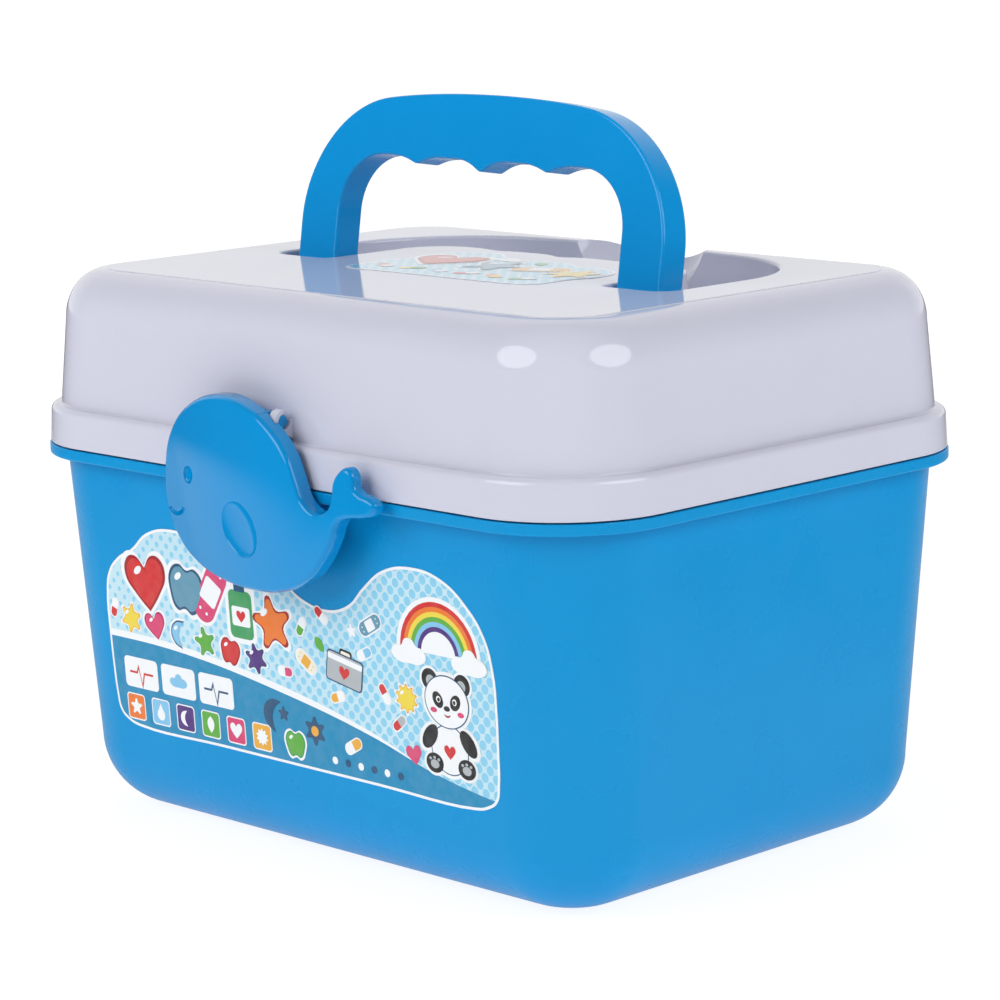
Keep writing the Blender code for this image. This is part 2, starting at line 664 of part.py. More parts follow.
def build_lid(material):
    lid = make_object("lid", lid_shell(), material)
    combine(lid, build_scoop_pad(), "UNION")
    scoop = scoop_ball(SCOOP_RADIUS, RECESS_FLOOR_Z, SCOOP_CENTRE_Y + ROOT + RECESS_EDGE_ROUND)
    combine(lid, make_helper("scoop", scoop), "DIFFERENCE")
    for side in (-1, 1):
        combine(lid, build_hinge_clip(side), "UNION")
        combine(lid, build_latch_ear(side), "UNION")
        inner = LEG_INNER - ISLAND_GAP
        low, high = sorted((side * (inner - LID_WALL - ROOT), side * (inner + ISLAND_GAP)))
        hole = rod(HANDLE_PIVOT_Y, HANDLE_PIVOT_Z, HANDLE_PIN_RADIUS + PIN_CLEARANCE, low, high)
        combine(lid, make_helper(f"handle_pin_hole_{side}", hole), "DIFFERENCE")
    return lid


# Handle, modelled upright round its pivot and then leant back

def handle_outline():
    outer = arch(HANDLE_HALF_WIDTH, HANDLE_OUTER_CORNER, HANDLE_CROWN_RADIUS, HANDLE_CROWN_HEIGHT,
                 -HANDLE_FOOT)
    return outer + inner_arch(-HANDLE_FOOT, 0)[::-1]


def handle_middle_line(place):
    # Point and direction on the line midway between the outside and the inside, place from 0 to 1
    half = HANDLE_HALF_WIDTH - HANDLE_LEG_WIDTH / 2
    top = HANDLE_CROWN_HEIGHT - HANDLE_GRIP_DEPTH / 2
    corner = (HANDLE_OUTER_CORNER + HANDLE_INNER_CORNER) / 2
    leg = top - corner
    bend = corner * math.pi / 2
    span = 2 * (half - corner)
    along = place * (2 * leg + 2 * bend + span)
    if along > leg + bend + span / 2:
        (x, z), turn = handle_middle_line(1 - place)
        return (-x, z), math.pi - turn
    if along < leg:
        return (half, along), math.pi / 2
    if along < leg + bend:
        angle = (along - leg) / corner
        centre_x = half - corner
        return (centre_x + corner * math.cos(angle), leg + corner * math.sin(angle)), math.pi / 2 + angle
    return (half - corner - (along - leg - bend), top), math.pi


def build_handle_ribs():
    ribs = []
    reach = HANDLE_GRIP_DEPTH
    for index in range(CORE_RIB_COUNT):
        (x, z), turn = handle_middle_line((index + 0.5) / CORE_RIB_COUNT)
        along = Vector((math.cos(turn), math.sin(turn))) * (CORE_RIB / 2)
        over = Vector((-math.sin(turn), math.cos(turn))) * reach
        middle = Vector((x, z))
        corners = [middle + along * i + over * j for i, j in ((-1, -1), (1, -1), (1, 1), (-1, 1))]
        ribs.append(plate_between([(c.x, c.y) for c in corners], upright, -HANDLE_THICKNESS, HANDLE_THICKNESS))
    return make_helper("handle_ribs", join_solids(ribs))


def build_handle(material):
    outline = handle_outline()
    half = HANDLE_THICKNESS / 2
    sections = []
    for side in (-1, 1):
        steps = range(ROUND_STEPS + 1) if side < 0 else range(ROUND_STEPS, -1, -1)
        for step in steps:
            angle = math.pi / 2 * step / ROUND_STEPS
            inset = HANDLE_EDGE_ROUND * (1 - math.sin(angle))
            depth = half - HANDLE_EDGE_ROUND * (1 - math.cos(angle))
            sections.append(upright(offset_loop(outline, -inset), side * depth))
    handle = make_object("handle", loft(sections), material)
    for side in (-1, 1):
        low, high = sorted((side * (LEG_INNER - HANDLE_PIN_LENGTH), side * (LEG_INNER + CORE_WALL / 2)))
        pin = make_helper(f"handle_pin_{side}", rod(0, 0, HANDLE_PIN_RADIUS, low, high))
        pin.parent = handle
        combine(handle, pin, "UNION")
    core = plate_between(offset_loop(outline, -CORE_WALL), upright, CORE_FACE - half, half + OVERRUN)
    core_cutter = make_helper("handle_core", core)
    combine(core_cutter, build_handle_ribs(), "DIFFERENCE")
    combine(handle, core_cutter, "DIFFERENCE")
    core_cutter.parent = handle
    bpy.data.objects["handle_ribs"].parent = handle
    handle.location = (0, HANDLE_PIVOT_Y, HANDLE_PIVOT_Z)
    handle.rotation_euler = (-HANDLE_LEAN, 0, 0)
    return handle


# Latch

def whale_point(share):
    return (share[0] * WHALE_LENGTH - WHALE_HEAD_REACH, WHALE_BOTTOM_Z + share[1] * WHALE_HEIGHT)


def whale_hollow():
    # Outline of the body without the tail, inside its wall
    body = [share for share in WHALE_OUTLINE_SHARES
            if share[0] < HOLLOW_END_SHARES[0] or share[1] < HOLLOW_END_SHARES[1]]
    return offset_loop(smooth_loop([whale_point(share) for share in body], CURVE_STEPS), -WHALE_WALL)


def smile_groove():
    # Bent rod that cuts the mouth's line
    centre = whale_point(SMILE_SHARES)
    sections = []
    for point_x, point_z in arc(centre, SMILE_BEND, SMILE_START, SMILE_END, ARC_STEPS):
        out = Vector((point_x - centre[0], 0, point_z - centre[1])).normalized()
        ring = []
        for offset, depth in arc((0, 0), SMILE_RADIUS, 0, math.tau, ARC_STEPS)[:-1]:
            ring.append((point_x + out.x * offset, WHALE_FRONT_Y + depth, point_z + out.z * offset))
        sections.append(ring)
    return loft(sections)


def dimple(centre, radius_x, radius_z, turn):
    ball = bmesh.new()
    bmesh.ops.create_uvsphere(ball, u_segments=20, v_segments=10, radius=radius_x)
    for vert in ball.verts:
        x, z = vert.co.x, vert.co.z * radius_z / radius_x
        vert.co.x = centre[0] + x * math.cos(turn) - z * math.sin(turn)
        vert.co.z = centre[1] + x * math.sin(turn) + z * math.cos(turn)
        vert.co.y = WHALE_FRONT_Y + vert.co.y * DIMPLE_DEPTH / radius_x
    return ball


def latch_shell():
    # Rounded face and skirt, hollow behind the body
    outline = smooth_loop([whale_point(share) for share in WHALE_OUTLINE_SHARES], CURVE_STEPS)
    bm = bmesh.new()
    outside = []
    for step in range(ROUND_STEPS + 1):
        angle = math.pi / 2 * step / ROUND_STEPS
        inset = WHALE_EDGE_ROUND * (1 - math.sin(angle))
        y = WHALE_FRONT_Y + WHALE_EDGE_ROUND * (1 - math.cos(angle))
        outside.append(add_ring(bm, upright(offset_loop(outline, -inset), y)))
    outside.append(add_ring(bm, upright(outline, WHALE_BACK_Y)))
    inside = [add_ring(bm, upright(whale_hollow(), y)) for y in (WHALE_BACK_Y, WHALE_FRONT_Y + WHALE_FACE)]
    bridge(bm, outside)
    bridge(bm, inside)
    fill_between(bm, outside[0])
    fill_between(bm, outside[-1], inside[0])
    fill_between(bm, inside[-1])
    return bm


def build_latch(material):
    latch = make_object("latch", latch_shell(), material)
    tail_x, tail_z = whale_point(TAIL_ROOT_SHARES)
    far_x, far_z = whale_point((1, 1))
    behind_tail = [(tail_x, tail_z), (far_x + OVERRUN, tail_z), (far_x + OVERRUN, far_z), (tail_x, far_z)]
    tail_back = WHALE_FRONT_Y + WHALE_TAIL_THICKNESS
    thinning = plate_between(behind_tail, upright, tail_back, WHALE_BACK_Y + OVERRUN)
    combine(latch, make_helper("tail_thinning", thinning), "DIFFERENCE")
    relief_x = LATCH_EAR_INNER + LATCH_EAR_WIDTH + LATCH_SIDE_GAP
    relief_radius = LATCH_EAR_RADIUS + LATCH_RELIEF_GAP
    relief = rod(LATCH_PIVOT_Y, LATCH_PIVOT_Z, relief_radius, -relief_x, relief_x)
    combine(latch, make_helper("latch_relief", relief), "DIFFERENCE")
    combine(latch, build_latch_carrier(), "UNION")
    combine(latch, build_catch(), "UNION")
    eye = dimple(whale_point(EYE_SHARES), EYE_RADIUS_X, EYE_RADIUS_Z, 0)
    fin = dimple(whale_point(FIN_SHARES), FIN_RADIUS_SHORT, FIN_RADIUS_LONG, FIN_TURN)
    for name, cutter in (("latch_eye", eye), ("latch_fin", fin), ("latch_smile", smile_groove())):
        combine(latch, make_helper(name, cutter), "DIFFERENCE")
    return latch


def build_latch_carrier():
    # Two arms from the back of the face to the cross pin
    axis = (LATCH_PIVOT_Y, LATCH_PIVOT_Z)
    face_y = WHALE_FRONT_Y + WHALE_FACE / 2
    quarter = math.pi / 2
    outline = [(face_y, LATCH_PIVOT_Z - 2 * LATCH_ARM_RADIUS)]
    outline += arc(axis, LATCH_ARM_RADIUS, -quarter, quarter, ARC_STEPS)
    outline.append((face_y, LATCH_PIVOT_Z + LATCH_ARM_RADIUS))
    arms = []
    for side in (-1, 1):
        low, high = sorted((side * LATCH_ARM_INNER, side * (LATCH_ARM_INNER + LATCH_ARM_WIDTH)))
        arms.append(plate_between(outline, across, low, high))
    carrier = make_helper("latch_arms", join_solids(arms))
    pin = rod(*axis, LATCH_PIN_RADIUS, -LATCH_PIN_HALF_LENGTH, LATCH_PIN_HALF_LENGTH)
    combine(carrier, make_helper("latch_pin", pin), "UNION")
    return carrier


def build_catch():
    # Lip behind the whale that lies just below and in front of the rim's lower edge
    top = RIM_BOTTOM_Z - CATCH_GAP
    back_y = -(HALF_DEPTH + RIM_FLARE + CATCH_GAP)
    face_y = WHALE_FRONT_Y + WHALE_FACE / 2
    low = top - CATCH_THICKNESS
    outline = [(face_y, low - CATCH_THICKNESS), (back_y, low), (back_y, top), (face_y, top)]
    return make_helper("latch_catch", plate_between(outline, across, -CATCH_HALF_WIDTH, CATCH_HALF_WIDTH))


# Labels

def front_wall_y(z):
    return -(HALF_DEPTH - TUB_INSET - TUB_TAPER * (1 - z / RIM_BOTTOM_Z))


def build_front_label(material):
    left = -FRONT_LABEL_WIDTH / 2
    points = [(left + share_x * FRONT_LABEL_WIDTH, FRONT_LABEL_BOTTOM_Z + share_z * FRONT_LABEL_HEIGHT)
              for share_x, share_z in FRONT_LABEL_SHARES]
    outline = smooth_loop(points, CURVE_STEPS)
    sections = []
    for away in (LABEL_GAP, LABEL_GAP + LABEL_THICKNESS):
        sections.append([(x, front_wall_y(z) - away, z) for x, z in outline])
    return make_object("front_label", loft(sections), material)


def build_top_label(material):
    left = -TOP_LABEL_WIDTH / 2 + GRIP_TIP_DEPTH
    points = [(left + share_x * TOP_LABEL_WIDTH, share_y * TOP_LABEL_DEPTH - TOP_LABEL_FRONT_REACH)
              for share_x, share_y in TOP_LABEL_SHARES]
    outline = smooth_loop(points, CURVE_STEPS)
    low = LID_TOP_Z + LABEL_GAP
    return make_object("top_label", plate_between(outline, level, low, low + LABEL_THICKNESS), material)


def build_case():
    clear_scene()
    build_tub(make_material("tub_blue", BLUE, 0.38))
    build_lid(make_material("lid_white", WHITE, 0.18))
    build_handle(make_material("handle_blue", BLUE, 0.32))
    build_latch(make_material("latch_blue", BLUE, 0.28))
    build_front_label(make_material("front_label_paper", LABEL_TEAL, 0.35))
    build_top_label(make_material("top_label_paper", LABEL_PALE, 0.35))


build_case()
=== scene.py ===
import json
import math

import bmesh
import bpy
from mathutils import Matrix, Vector


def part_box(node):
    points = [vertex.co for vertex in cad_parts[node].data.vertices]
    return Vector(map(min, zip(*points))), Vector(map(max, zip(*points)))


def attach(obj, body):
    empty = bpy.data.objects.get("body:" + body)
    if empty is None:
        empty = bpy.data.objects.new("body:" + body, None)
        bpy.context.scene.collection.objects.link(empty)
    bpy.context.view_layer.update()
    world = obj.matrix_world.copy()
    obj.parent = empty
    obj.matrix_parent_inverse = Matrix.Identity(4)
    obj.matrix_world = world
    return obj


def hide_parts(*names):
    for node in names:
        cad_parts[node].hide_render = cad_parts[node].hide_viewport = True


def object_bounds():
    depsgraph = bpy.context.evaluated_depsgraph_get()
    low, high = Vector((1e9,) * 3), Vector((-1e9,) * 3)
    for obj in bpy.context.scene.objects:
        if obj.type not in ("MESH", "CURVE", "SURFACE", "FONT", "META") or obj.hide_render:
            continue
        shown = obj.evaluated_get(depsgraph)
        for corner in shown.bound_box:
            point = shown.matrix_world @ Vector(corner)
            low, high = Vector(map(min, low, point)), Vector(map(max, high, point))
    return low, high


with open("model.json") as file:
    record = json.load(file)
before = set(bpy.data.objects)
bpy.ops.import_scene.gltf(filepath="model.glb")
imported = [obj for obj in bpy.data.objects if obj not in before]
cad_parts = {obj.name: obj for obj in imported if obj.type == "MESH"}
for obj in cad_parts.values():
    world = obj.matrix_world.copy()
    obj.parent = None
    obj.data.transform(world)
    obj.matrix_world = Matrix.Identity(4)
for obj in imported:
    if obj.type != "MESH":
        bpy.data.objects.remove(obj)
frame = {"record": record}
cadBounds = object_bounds()
print("frame loaded")

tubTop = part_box("tub")[1].z
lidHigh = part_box("lid")[1]
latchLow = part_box("latch")[0]
joints = {joint["name"]: Vector(joint["pos_m"]) for joint in frame["record"]["behaviour"]["joints"]}

# metres, as everything here
case = {
    "halfX": lidHigh.x,
    "halfY": 0.08695,
    "corner": 0.033,
    "cornerSteps": 28,
    "rimTop": 0.1103,
    "lidTop": lidHigh.z,
    "spare": 0.004,             # how far a cutter stands out of what it cuts
    "shallow": 0.002,           # the same for shallow cutters
}


# picking and starting

def putDown():
    if bpy.context.object and bpy.context.object.mode == "EDIT":
        bpy.ops.object.mode_set(mode="OBJECT")
    bpy.ops.object.select_all(action="DESELECT")


def pickUp(*pieces):
    putDown()
    for piece in pieces:
        piece.select_set(True)
    bpy.context.view_layer.objects.active = pieces[0]


def startEdit(piece):
    pickUp(piece)
    bpy.ops.object.mode_set(mode="EDIT")


def pick(piece, kind, test):
    # in edit mode: vertices, edges or faces by their place
    bpy.ops.mesh.select_mode(type=kind)
    bpy.ops.mesh.select_all(action="DESELECT")
    shape = bmesh.from_edit_mesh(piece.data)
    for item in {"VERT": shape.verts, "EDGE": shape.edges, "FACE": shape.faces}[kind]:
        if test(item):
            item.select_set(True)
    bmesh.update_edit_mesh(piece.data)


def pickAll(kind=None):
    if kind:
        bpy.ops.mesh.select_mode(type=kind)
    bpy.ops.mesh.select_all(action="SELECT")


def above(z):
    return lambda edge: all(vert.co.z > z for vert in edge.verts)


def below(z):
    return lambda edge: all(vert.co.z < z for vert in edge.verts)


def endRim(edge):
    # edge round the end of a piece that lies along x
    return abs(edge.verts[0].co.x - edge.verts[1].co.x) < 0.000001


def tidyMesh(piece, merge=0.000004):
    startEdit(piece)
    pickAll()
    bpy.ops.mesh.remove_doubles(threshold=merge)
    bpy.ops.mesh.normals_make_consistent(inside=False)
    putDown()


def startPlan(name, halfX, halfY, corner, z):
    # rounded rectangle lying flat, ready to be pulled up or down
    putDown()
    bpy.ops.mesh.primitive_plane_add(size=1, location=(0, 0, z))
    piece = bpy.context.object
    piece.name = name
    piece.scale = (2 * halfX, 2 * halfY, 1)
    bpy.ops.object.transform_apply(location=True, rotation=False, scale=True)
    bpy.ops.object.mode_set(mode="EDIT")
    pickAll("VERT")
    bpy.ops.mesh.bevel(offset=corner, segments=case["cornerSteps"], affect="VERTICES")
    pickAll("FACE")
    return piece


def casePlan(name, inset, z):
    return startPlan(name, case["halfX"] - inset, case["halfY"] - inset, case["corner"] - inset, z)


def traceOutline(name, outline, z=0.0):
    # click by click round the outline, then filled; a corner with a width and steps is rounded
    putDown()
    bpy.ops.mesh.primitive_plane_add(size=0.001)
    piece = bpy.context.object
    piece.name = name
    bpy.ops.object.mode_set(mode="EDIT")
    pickAll("VERT")
    bpy.ops.mesh.merge(type="CENTER")
    bpy.ops.transform.translate(value=(outline[0][0], outline[0][1], z))
    for here, there in zip(outline, outline[1:]):
        move = (there[0] - here[0], there[1] - here[1], 0)
        bpy.ops.mesh.extrude_region_move(TRANSFORM_OT_translate={"value": move})
    pickAll()
    bpy.ops.mesh.edge_face_add()
    for x, y, *soft in outline:
        if soft:
            place = Vector((x, y, z))
            pick(piece, "VERT", lambda vert: (vert.co - place).length < 0.00002)
            bpy.ops.mesh.bevel(offset=soft[0], segments=soft[1], affect="VERTICES")
    pickAll("FACE")
    bpy.ops.mesh.normals_make_consistent(inside=False)
    if bmesh.from_edit_mesh(piece.data).faces[:][0].normal.z < 0:
        bpy.ops.mesh.flip_normals()
    return piece


def drawLoop(name, points, steps, z=0.0):
    # smooth closed line through the points, filled
    putDown()
    bpy.ops.curve.primitive_bezier_circle_add(radius=0.01)
    line = bpy.context.object
    line.name = name
    spline = line.data.splines[0]
    spline.bezier_points.add(len(points) - len(spline.bezier_points))
    for knot, point in zip(spline.bezier_points, points):
        knot.co = (point[0], point[1], z)
        sharp = len(point) > 2
        knot.handle_left_type = "VECTOR" if sharp else "AUTO"
        knot.handle_right_type = "VECTOR" if sharp else "AUTO"
    line.data.resolution_u = steps
    bpy.ops.object.convert(target="MESH")
    piece = bpy.context.object
    bpy.ops.object.mode_set(mode="EDIT")
    pickAll("VERT")
    bpy.ops.mesh.edge_face_add()
    pickAll("FACE")
    if bmesh.from_edit_mesh(piece.data).faces[:][0].normal.z < 0:
        bpy.ops.mesh.flip_normals()
    return piece


# working on the picked cap, which looks up even when the piece grows downwards

def pull(along):
    bpy.ops.mesh.extrude_region_move(TRANSFORM_OT_translate={"value": (0, 0, along)})


def step(inward, along):
    bpy.ops.mesh.inset(thickness=inward, depth=along)


def keepInside(margin):
    # insets the picked face and deletes the border
    step(margin, 0)
    bpy.ops.mesh.select_all(action="INVERT")
    bpy.ops.mesh.delete(type="FACE")
    pickAll()


def bend(run, rise, count, fromFlat=False):
    # quarter round, from the upright to the flat or the other way
    last = (0.0, 0.0)
    for index in range(1, count + 1):
        turn = math.pi / 2 * index / count
        here = (run * math.sin(turn), rise * (1 - math.cos(turn))) if fromFlat else \
            (run * (1 - math.cos(turn)), rise * math.sin(turn))
        step(here[0] - last[0], here[1] - last[1])
        last = here


def carve(piece, tool, how="DIFFERENCE"):
    # Boolean applied at once, its tool deleted
    pickUp(piece)
    cut = piece.modifiers.new("cut", "BOOLEAN")
    cut.object = tool
    cut.operation = how
    cut.solver = "EXACT"
    bpy.ops.object.modifier_apply(modifier=cut.name)
    pickUp(tool)
    bpy.ops.object.delete()


def barAlongX(name, centre, radius, lowX, highX, sides=48):
    putDown()
    middle = ((lowX + highX) / 2, centre[1], centre[2])
    bpy.ops.mesh.primitive_cylinder_add(vertices=sides, radius=radius, depth=highX - lowX, location=middle,
                                        rotation=(0, math.pi / 2, 0))
    bar = bpy.context.object
    bar.name = name
    bpy.ops.object.transform_apply()
    return bar


def sidePlate(name, outline, lowX, highX):
    # outline in (y, z), thickness along x
    plate = traceOutline(name, outline)
    pull(highX - lowX)
    bpy.ops.object.mode_set(mode="OBJECT")
    plate.matrix_world = Matrix(((0, 0, 1, lowX), (1, 0, 0, 0), (0, 1, 0, 0), (0, 0, 0, 1)))
    pickUp(plate)
    bpy.ops.object.transform_apply()
    tidyMesh(plate)
    return plate


def arc(centre, radius, first, last, every=10):
    # points round an axis along x, in degrees
    turns = [math.radians(degrees) for degrees in range(first, last + 1, every)]
    return [(centre.y + radius * math.cos(turn), centre.z + radius * math.sin(turn)) for turn in turns]


def standUp(piece, y=0.0, lean=0.0, z=0.0):
    # what was drawn lying on its back is stood up, its face towards -Y
    putDown()
    piece.rotation_euler = (math.pi / 2 + lean, 0, 0)
    piece.location = (0, y, z)
    pickUp(piece)
    bpy.ops.object.transform_apply()


def softenEdges(piece, width, steps, test):
    startEdit(piece)
    pick(piece, "EDGE", test)
    bpy.ops.mesh.bevel(offset=width, segments=steps, affect="EDGES", clamp_overlap=True)
    putDown()


def polish(piece, angle=35):
    # even shading: large faces keep theirs, rounds blend into them
    tidyMesh(piece)
    pickUp(piece)
    bpy.ops.object.shade_smooth_by_angle(angle=math.radians(angle))
    weights = piece.modifiers.new("weights", "WEIGHTED_NORMAL")
    weights.keep_sharp = True
    weights.weight = 60
    bpy.ops.object.modifier_apply(modifier=weights.name)
    piece.data.materials.clear()


# tub

tubShape = {
    "wall": 0.002,
    "floor": 0.0024,
    "inset": 0.0049,            # wall under the rim, behind the band's outside
    "taper": 0.0066,
    "fillet": 0.0223,
    "filletSteps": 18,
    "rimBottom": 0.1071,
    "rimFlare": 0.0003,
    "rimSkirt": 0.0016,
    "flange": 0.0019,
    "rimRound": 0.0006,
    "upstand": tubTop,
}


def tubBlock(name, wall, topZ, floorZ):
    s = tubShape
    inset = s["inset"] + wall
    block = casePlan(name, inset, topZ)
    pull(s["rimBottom"] - topZ)
    filletTop = floorZ + s["fillet"] - wall
    lean = s["taper"] * (1 - filletTop / s["rimBottom"])
    halfX = case["halfX"] - inset
    halfY = case["halfY"] - inset
    pull(filletTop - s["rimBottom"])
    bpy.ops.transform.resize(value=((halfX - lean) / halfX, (halfY - lean) / halfY, 1))
    fillet = s["fillet"] - wall
    bend(fillet, -fillet, s["filletSteps"])
    tidyMesh(block)
    return block


def hingeBracket(side):
    s = hinge
    axis = joints["lid_hinge"]
    middle = side * s["spread"] / 2
    inner = s["clipWidth"] / 2 + s["sideGap"]
    footZ = axis.z - s["bracketDrop"]
    wallY = case["halfY"] - tubShape["inset"] - tubShape["wall"] / 2
    footY = wallY - tubShape["taper"] * (1 - footZ / tubShape["rimBottom"])
    outline = [(footY, footZ)] + arc(axis, s["clipRadius"], -50, 100)
    outline += [(case["halfY"] + tubShape["rimFlare"] / 2, case["rimTop"]),
                (case["halfY"] - 0.001, case["rimTop"] - 0.0004), (wallY, case["rimTop"] - tubShape["flange"] / 2)]
    parts = []
    for low in (middle - inner - s["earWidth"], middle + inner):
        parts.append(sidePlate("hingeEar", outline, low, low + s["earWidth"]))
        softenEdges(parts[-1], s["softEdge"], 2, endRim)
    reach = inner + s["earWidth"] + s["pinProud"]
    parts.append(barAlongX("hingePin", axis, s["pinRadius"], middle - reach, middle + reach))
    softenEdges(parts[-1], s["softEdge"], 3, endRim)
    return parts


def buildTub():
    s = tubShape
    rim = casePlan("tubBody", -s["rimFlare"], s["rimBottom"])
    pull(case["rimTop"] - s["rimBottom"])
    tidyMesh(rim)
    softenEdges(rim, s["rimRound"], 4, below(s["rimBottom"] + 0.0001))
    softenEdges(rim, s["rimFlare"], 3, above(case["rimTop"] - 0.0001))
    underside = casePlan("underside", s["rimSkirt"] - s["rimFlare"], s["rimBottom"] - case["spare"])
    pull(case["spare"] + case["rimTop"] - s["flange"] - s["rimBottom"])
    tidyMesh(underside)
    carve(rim, underside)
    carve(rim, tubBlock("walls", 0, s["upstand"], 0), "UNION")
    carve(rim, tubBlock("inside", s["wall"], s["upstand"] + case["spare"], s["floor"]))
    for side in (-1, 1):
        for piece in hingeBracket(side):
            carve(rim, piece, "UNION")
    polish(rim)
    print("tub built", len(rim.data.polygons))
    return rim


# lid

lidShape = {
    "wall": 0.002,
    "bandBottom": 0.1107,
    "bandHeight": 0.011,
    "bandDraft": 0.0005,
    "bandFoot": 0.0004,
    "bandRound": 0.002,
    "neckRound": 0.0007,
    "slope": 0.00001,           # the least rise that keeps two rings apart
    "inset": 0.0036,
    "taper": 0.0022,
    "filletRun": 0.0122,
    "filletRise": 0.014,
    "filletSteps": 20,
    "innerFilletRun": 0.008,
    "stepRun": 0.0004,
    "stepRise": 0.0002,
}

recess = {
    "half": 0.0788,
    "front": 0.012,
    "back": 0.0656,
    "depth": 0.0155,
    "draft": 0.0007,
    "edgeRound": 0.001,
    "floorRound": 0.001,
    "frontCorner": 0.006,
    "backCorner": 0.042,
    "crownRadius": 0.3,
    "slotCorner": 0.003,
    "islandGap": 0.0016,
    "tipWidth": 0.003,
}

scoop = {"radius": 0.0303, "y": 0.0519, "rise": 0.0103, "lip": 0.0009, "cut": 0.002}

hinge = {
    "spread": 0.124,
    "pinRadius": 0.002,
    "clipRadius": 0.00379,
    "clipWidth": 0.016,
    "earWidth": 0.0032,
    "sideGap": 0.0004,
    "bracketDrop": 0.0125,
    "gussetRise": 0.009,
    "footRise": 0.003,
    "clearance": 0.0003,
    "softEdge": 0.0004,
    "pinProud": 0.0008,
    "mouth": -60,
}

handleShape = {
    "thick": 0.0096,
    "half": 0.0728,
    "leg": 0.016,
    "crown": 0.0576,
    "crownRadius": 0.3,
    "outerCorner": 0.038,
    "innerCorner": 0.017,
    "grip": 0.0192,
    "foot": 0.0046,
    "toeRound": 0.0008,
    "edgeRound": 0.0015,
    "lean": math.radians(8.8),
    "pitch": 0.0262,
    "tipRun": 0.0062,
    "valleyWidth": 0.0035,
    "tipDepth": 0.0034,
    "sideTipDepth": 0.0022,
    "tipWidth": 0.0008,
    "coreTipWidth": 0.003,
    "coreWall": 0.0026,
    "coreFace": 0.0032,
    "rib": 0.0016,
    "ribCount": 14,
    "pinRadius": 0.0024,
    "pinLength": 0.0036,
}


def archTop(half, corner, crownRadius, crown):
    # shoulders and middle of an arched top, each with the width that rounds it
    lean = math.asin((half - corner) / (crownRadius - corner))
    centre = crown - crownRadius
    roof = centre + crownRadius / math.cos(lean)
    shoulder = roof - half * math.tan(lean)
    width = corner * math.tan((math.pi / 2 - lean) / 2)
    roofWidth = 0.998 * crownRadius * math.tan(lean)
    return [(half, shoulder, width, 24), (0.0, roof, roofWidth, 24), (-half, shoulder, width, 24)]


def gripLine(half, corner, top, tipWidth):
    # from the left shoulder over the finger grips to the right one
    s = handleShape
    line = [(-half, top, corner, 16)]
    for tip, depth in ((-s["pitch"], s["sideTipDepth"]), (0.0, s["tipDepth"]), (s["pitch"], s["sideTipDepth"])):
        line += [(tip - s["tipRun"], top, s["valleyWidth"], 8), (tip, top - depth, tipWidth, 6),
                 (tip + s["tipRun"], top, s["valleyWidth"], 8)]
    return line + [(half, top, corner, 16)]


def horseshoe(name, grow, z):
    # the recess seen from above, made larger all round by grow
    s = recess
    half = s["half"] + grow
    front = -s["front"] - grow
    island = handleShape["half"] - handleShape["leg"] - s["islandGap"] - grow
    islandBack = handleShape["crown"] - handleShape["grip"] - s["islandGap"] - grow + joints["handle_pivot"].y
    islandCorner = handleShape["innerCorner"] - s["islandGap"] - grow
    slot = s["slotCorner"] + grow
    outline = [(half, front, s["frontCorner"] + grow, 12)]
    outline += archTop(half, s["backCorner"] + grow, s["crownRadius"] + grow, s["back"] + grow)
    outline += [(-half, front, s["frontCorner"] + grow, 12), (-island, front, slot, 8)]
    outline += gripLine(island, islandCorner, islandBack, s["tipWidth"])
    outline.append((island, front, slot, 8))
    return traceOutline(name, outline, z)


def recessCutter(grow, floorZ, rounded):
    s = recess
    top = case["lidTop"] + case["shallow"]
    cutter = horseshoe("recessCutter", grow + (s["edgeRound"] if rounded else 0), top)
    pull(case["lidTop"] - top)
    foot = 0
    if rounded:
        bend(s["edgeRound"], -s["edgeRound"], 6, fromFlat=True)
        foot = s["floorRound"]
    wallTop = case["lidTop"] - (s["edgeRound"] if rounded else 0)
    step(s["draft"], floorZ + foot - wallTop)
    if rounded:
        bend(foot, -foot, 4)
    tidyMesh(cutter)
    return cutter


def scoopBall(extra):
    putDown()
    place = (0, scoop["y"], case["lidTop"] + scoop["rise"])
    bpy.ops.mesh.primitive_uv_sphere_add(segments=96, ring_count=64, radius=scoop["radius"] + extra, location=place)
    ball = bpy.context.object
    bpy.ops.object.transform_apply()
    floorZ = case["lidTop"] - recess["depth"] - extra
    frontY = scoop["y"] + scoop["cut"] - extra
    bpy.ops.object.mode_set(mode="EDIT")
    for point, away in (((0, 0, floorZ), (0, 0, -1)), ((0, frontY, 0), (0, -1, 0))):
        pickAll()
        bpy.ops.mesh.bisect(plane_co=point, plane_no=away, clear_outer=True, use_fill=True)
    putDown()
    return ball


def lidBlock():
    s = lidShape
    block = casePlan("lidBody", 0, s["bandBottom"])
    pull(s["bandFoot"])
    step(s["bandDraft"], s["bandHeight"] - s["bandRound"] - s["bandFoot"])
    bend(s["bandRound"], s["bandRound"], 8)
    step(s["inset"] - s["bandDraft"] - s["bandRound"] - s["neckRound"], s["slope"])
    bend(s["neckRound"], s["neckRound"], 5, fromFlat=True)
    filletFoot = case["lidTop"] - s["stepRise"] - s["filletRise"]
    step(s["taper"], filletFoot - s["bandBottom"] - s["bandHeight"] - s["neckRound"])
    bend(s["filletRun"], s["filletRise"], s["filletSteps"])
    bend(s["stepRun"], s["stepRise"], 3, fromFlat=True)
    tidyMesh(block)
    return block


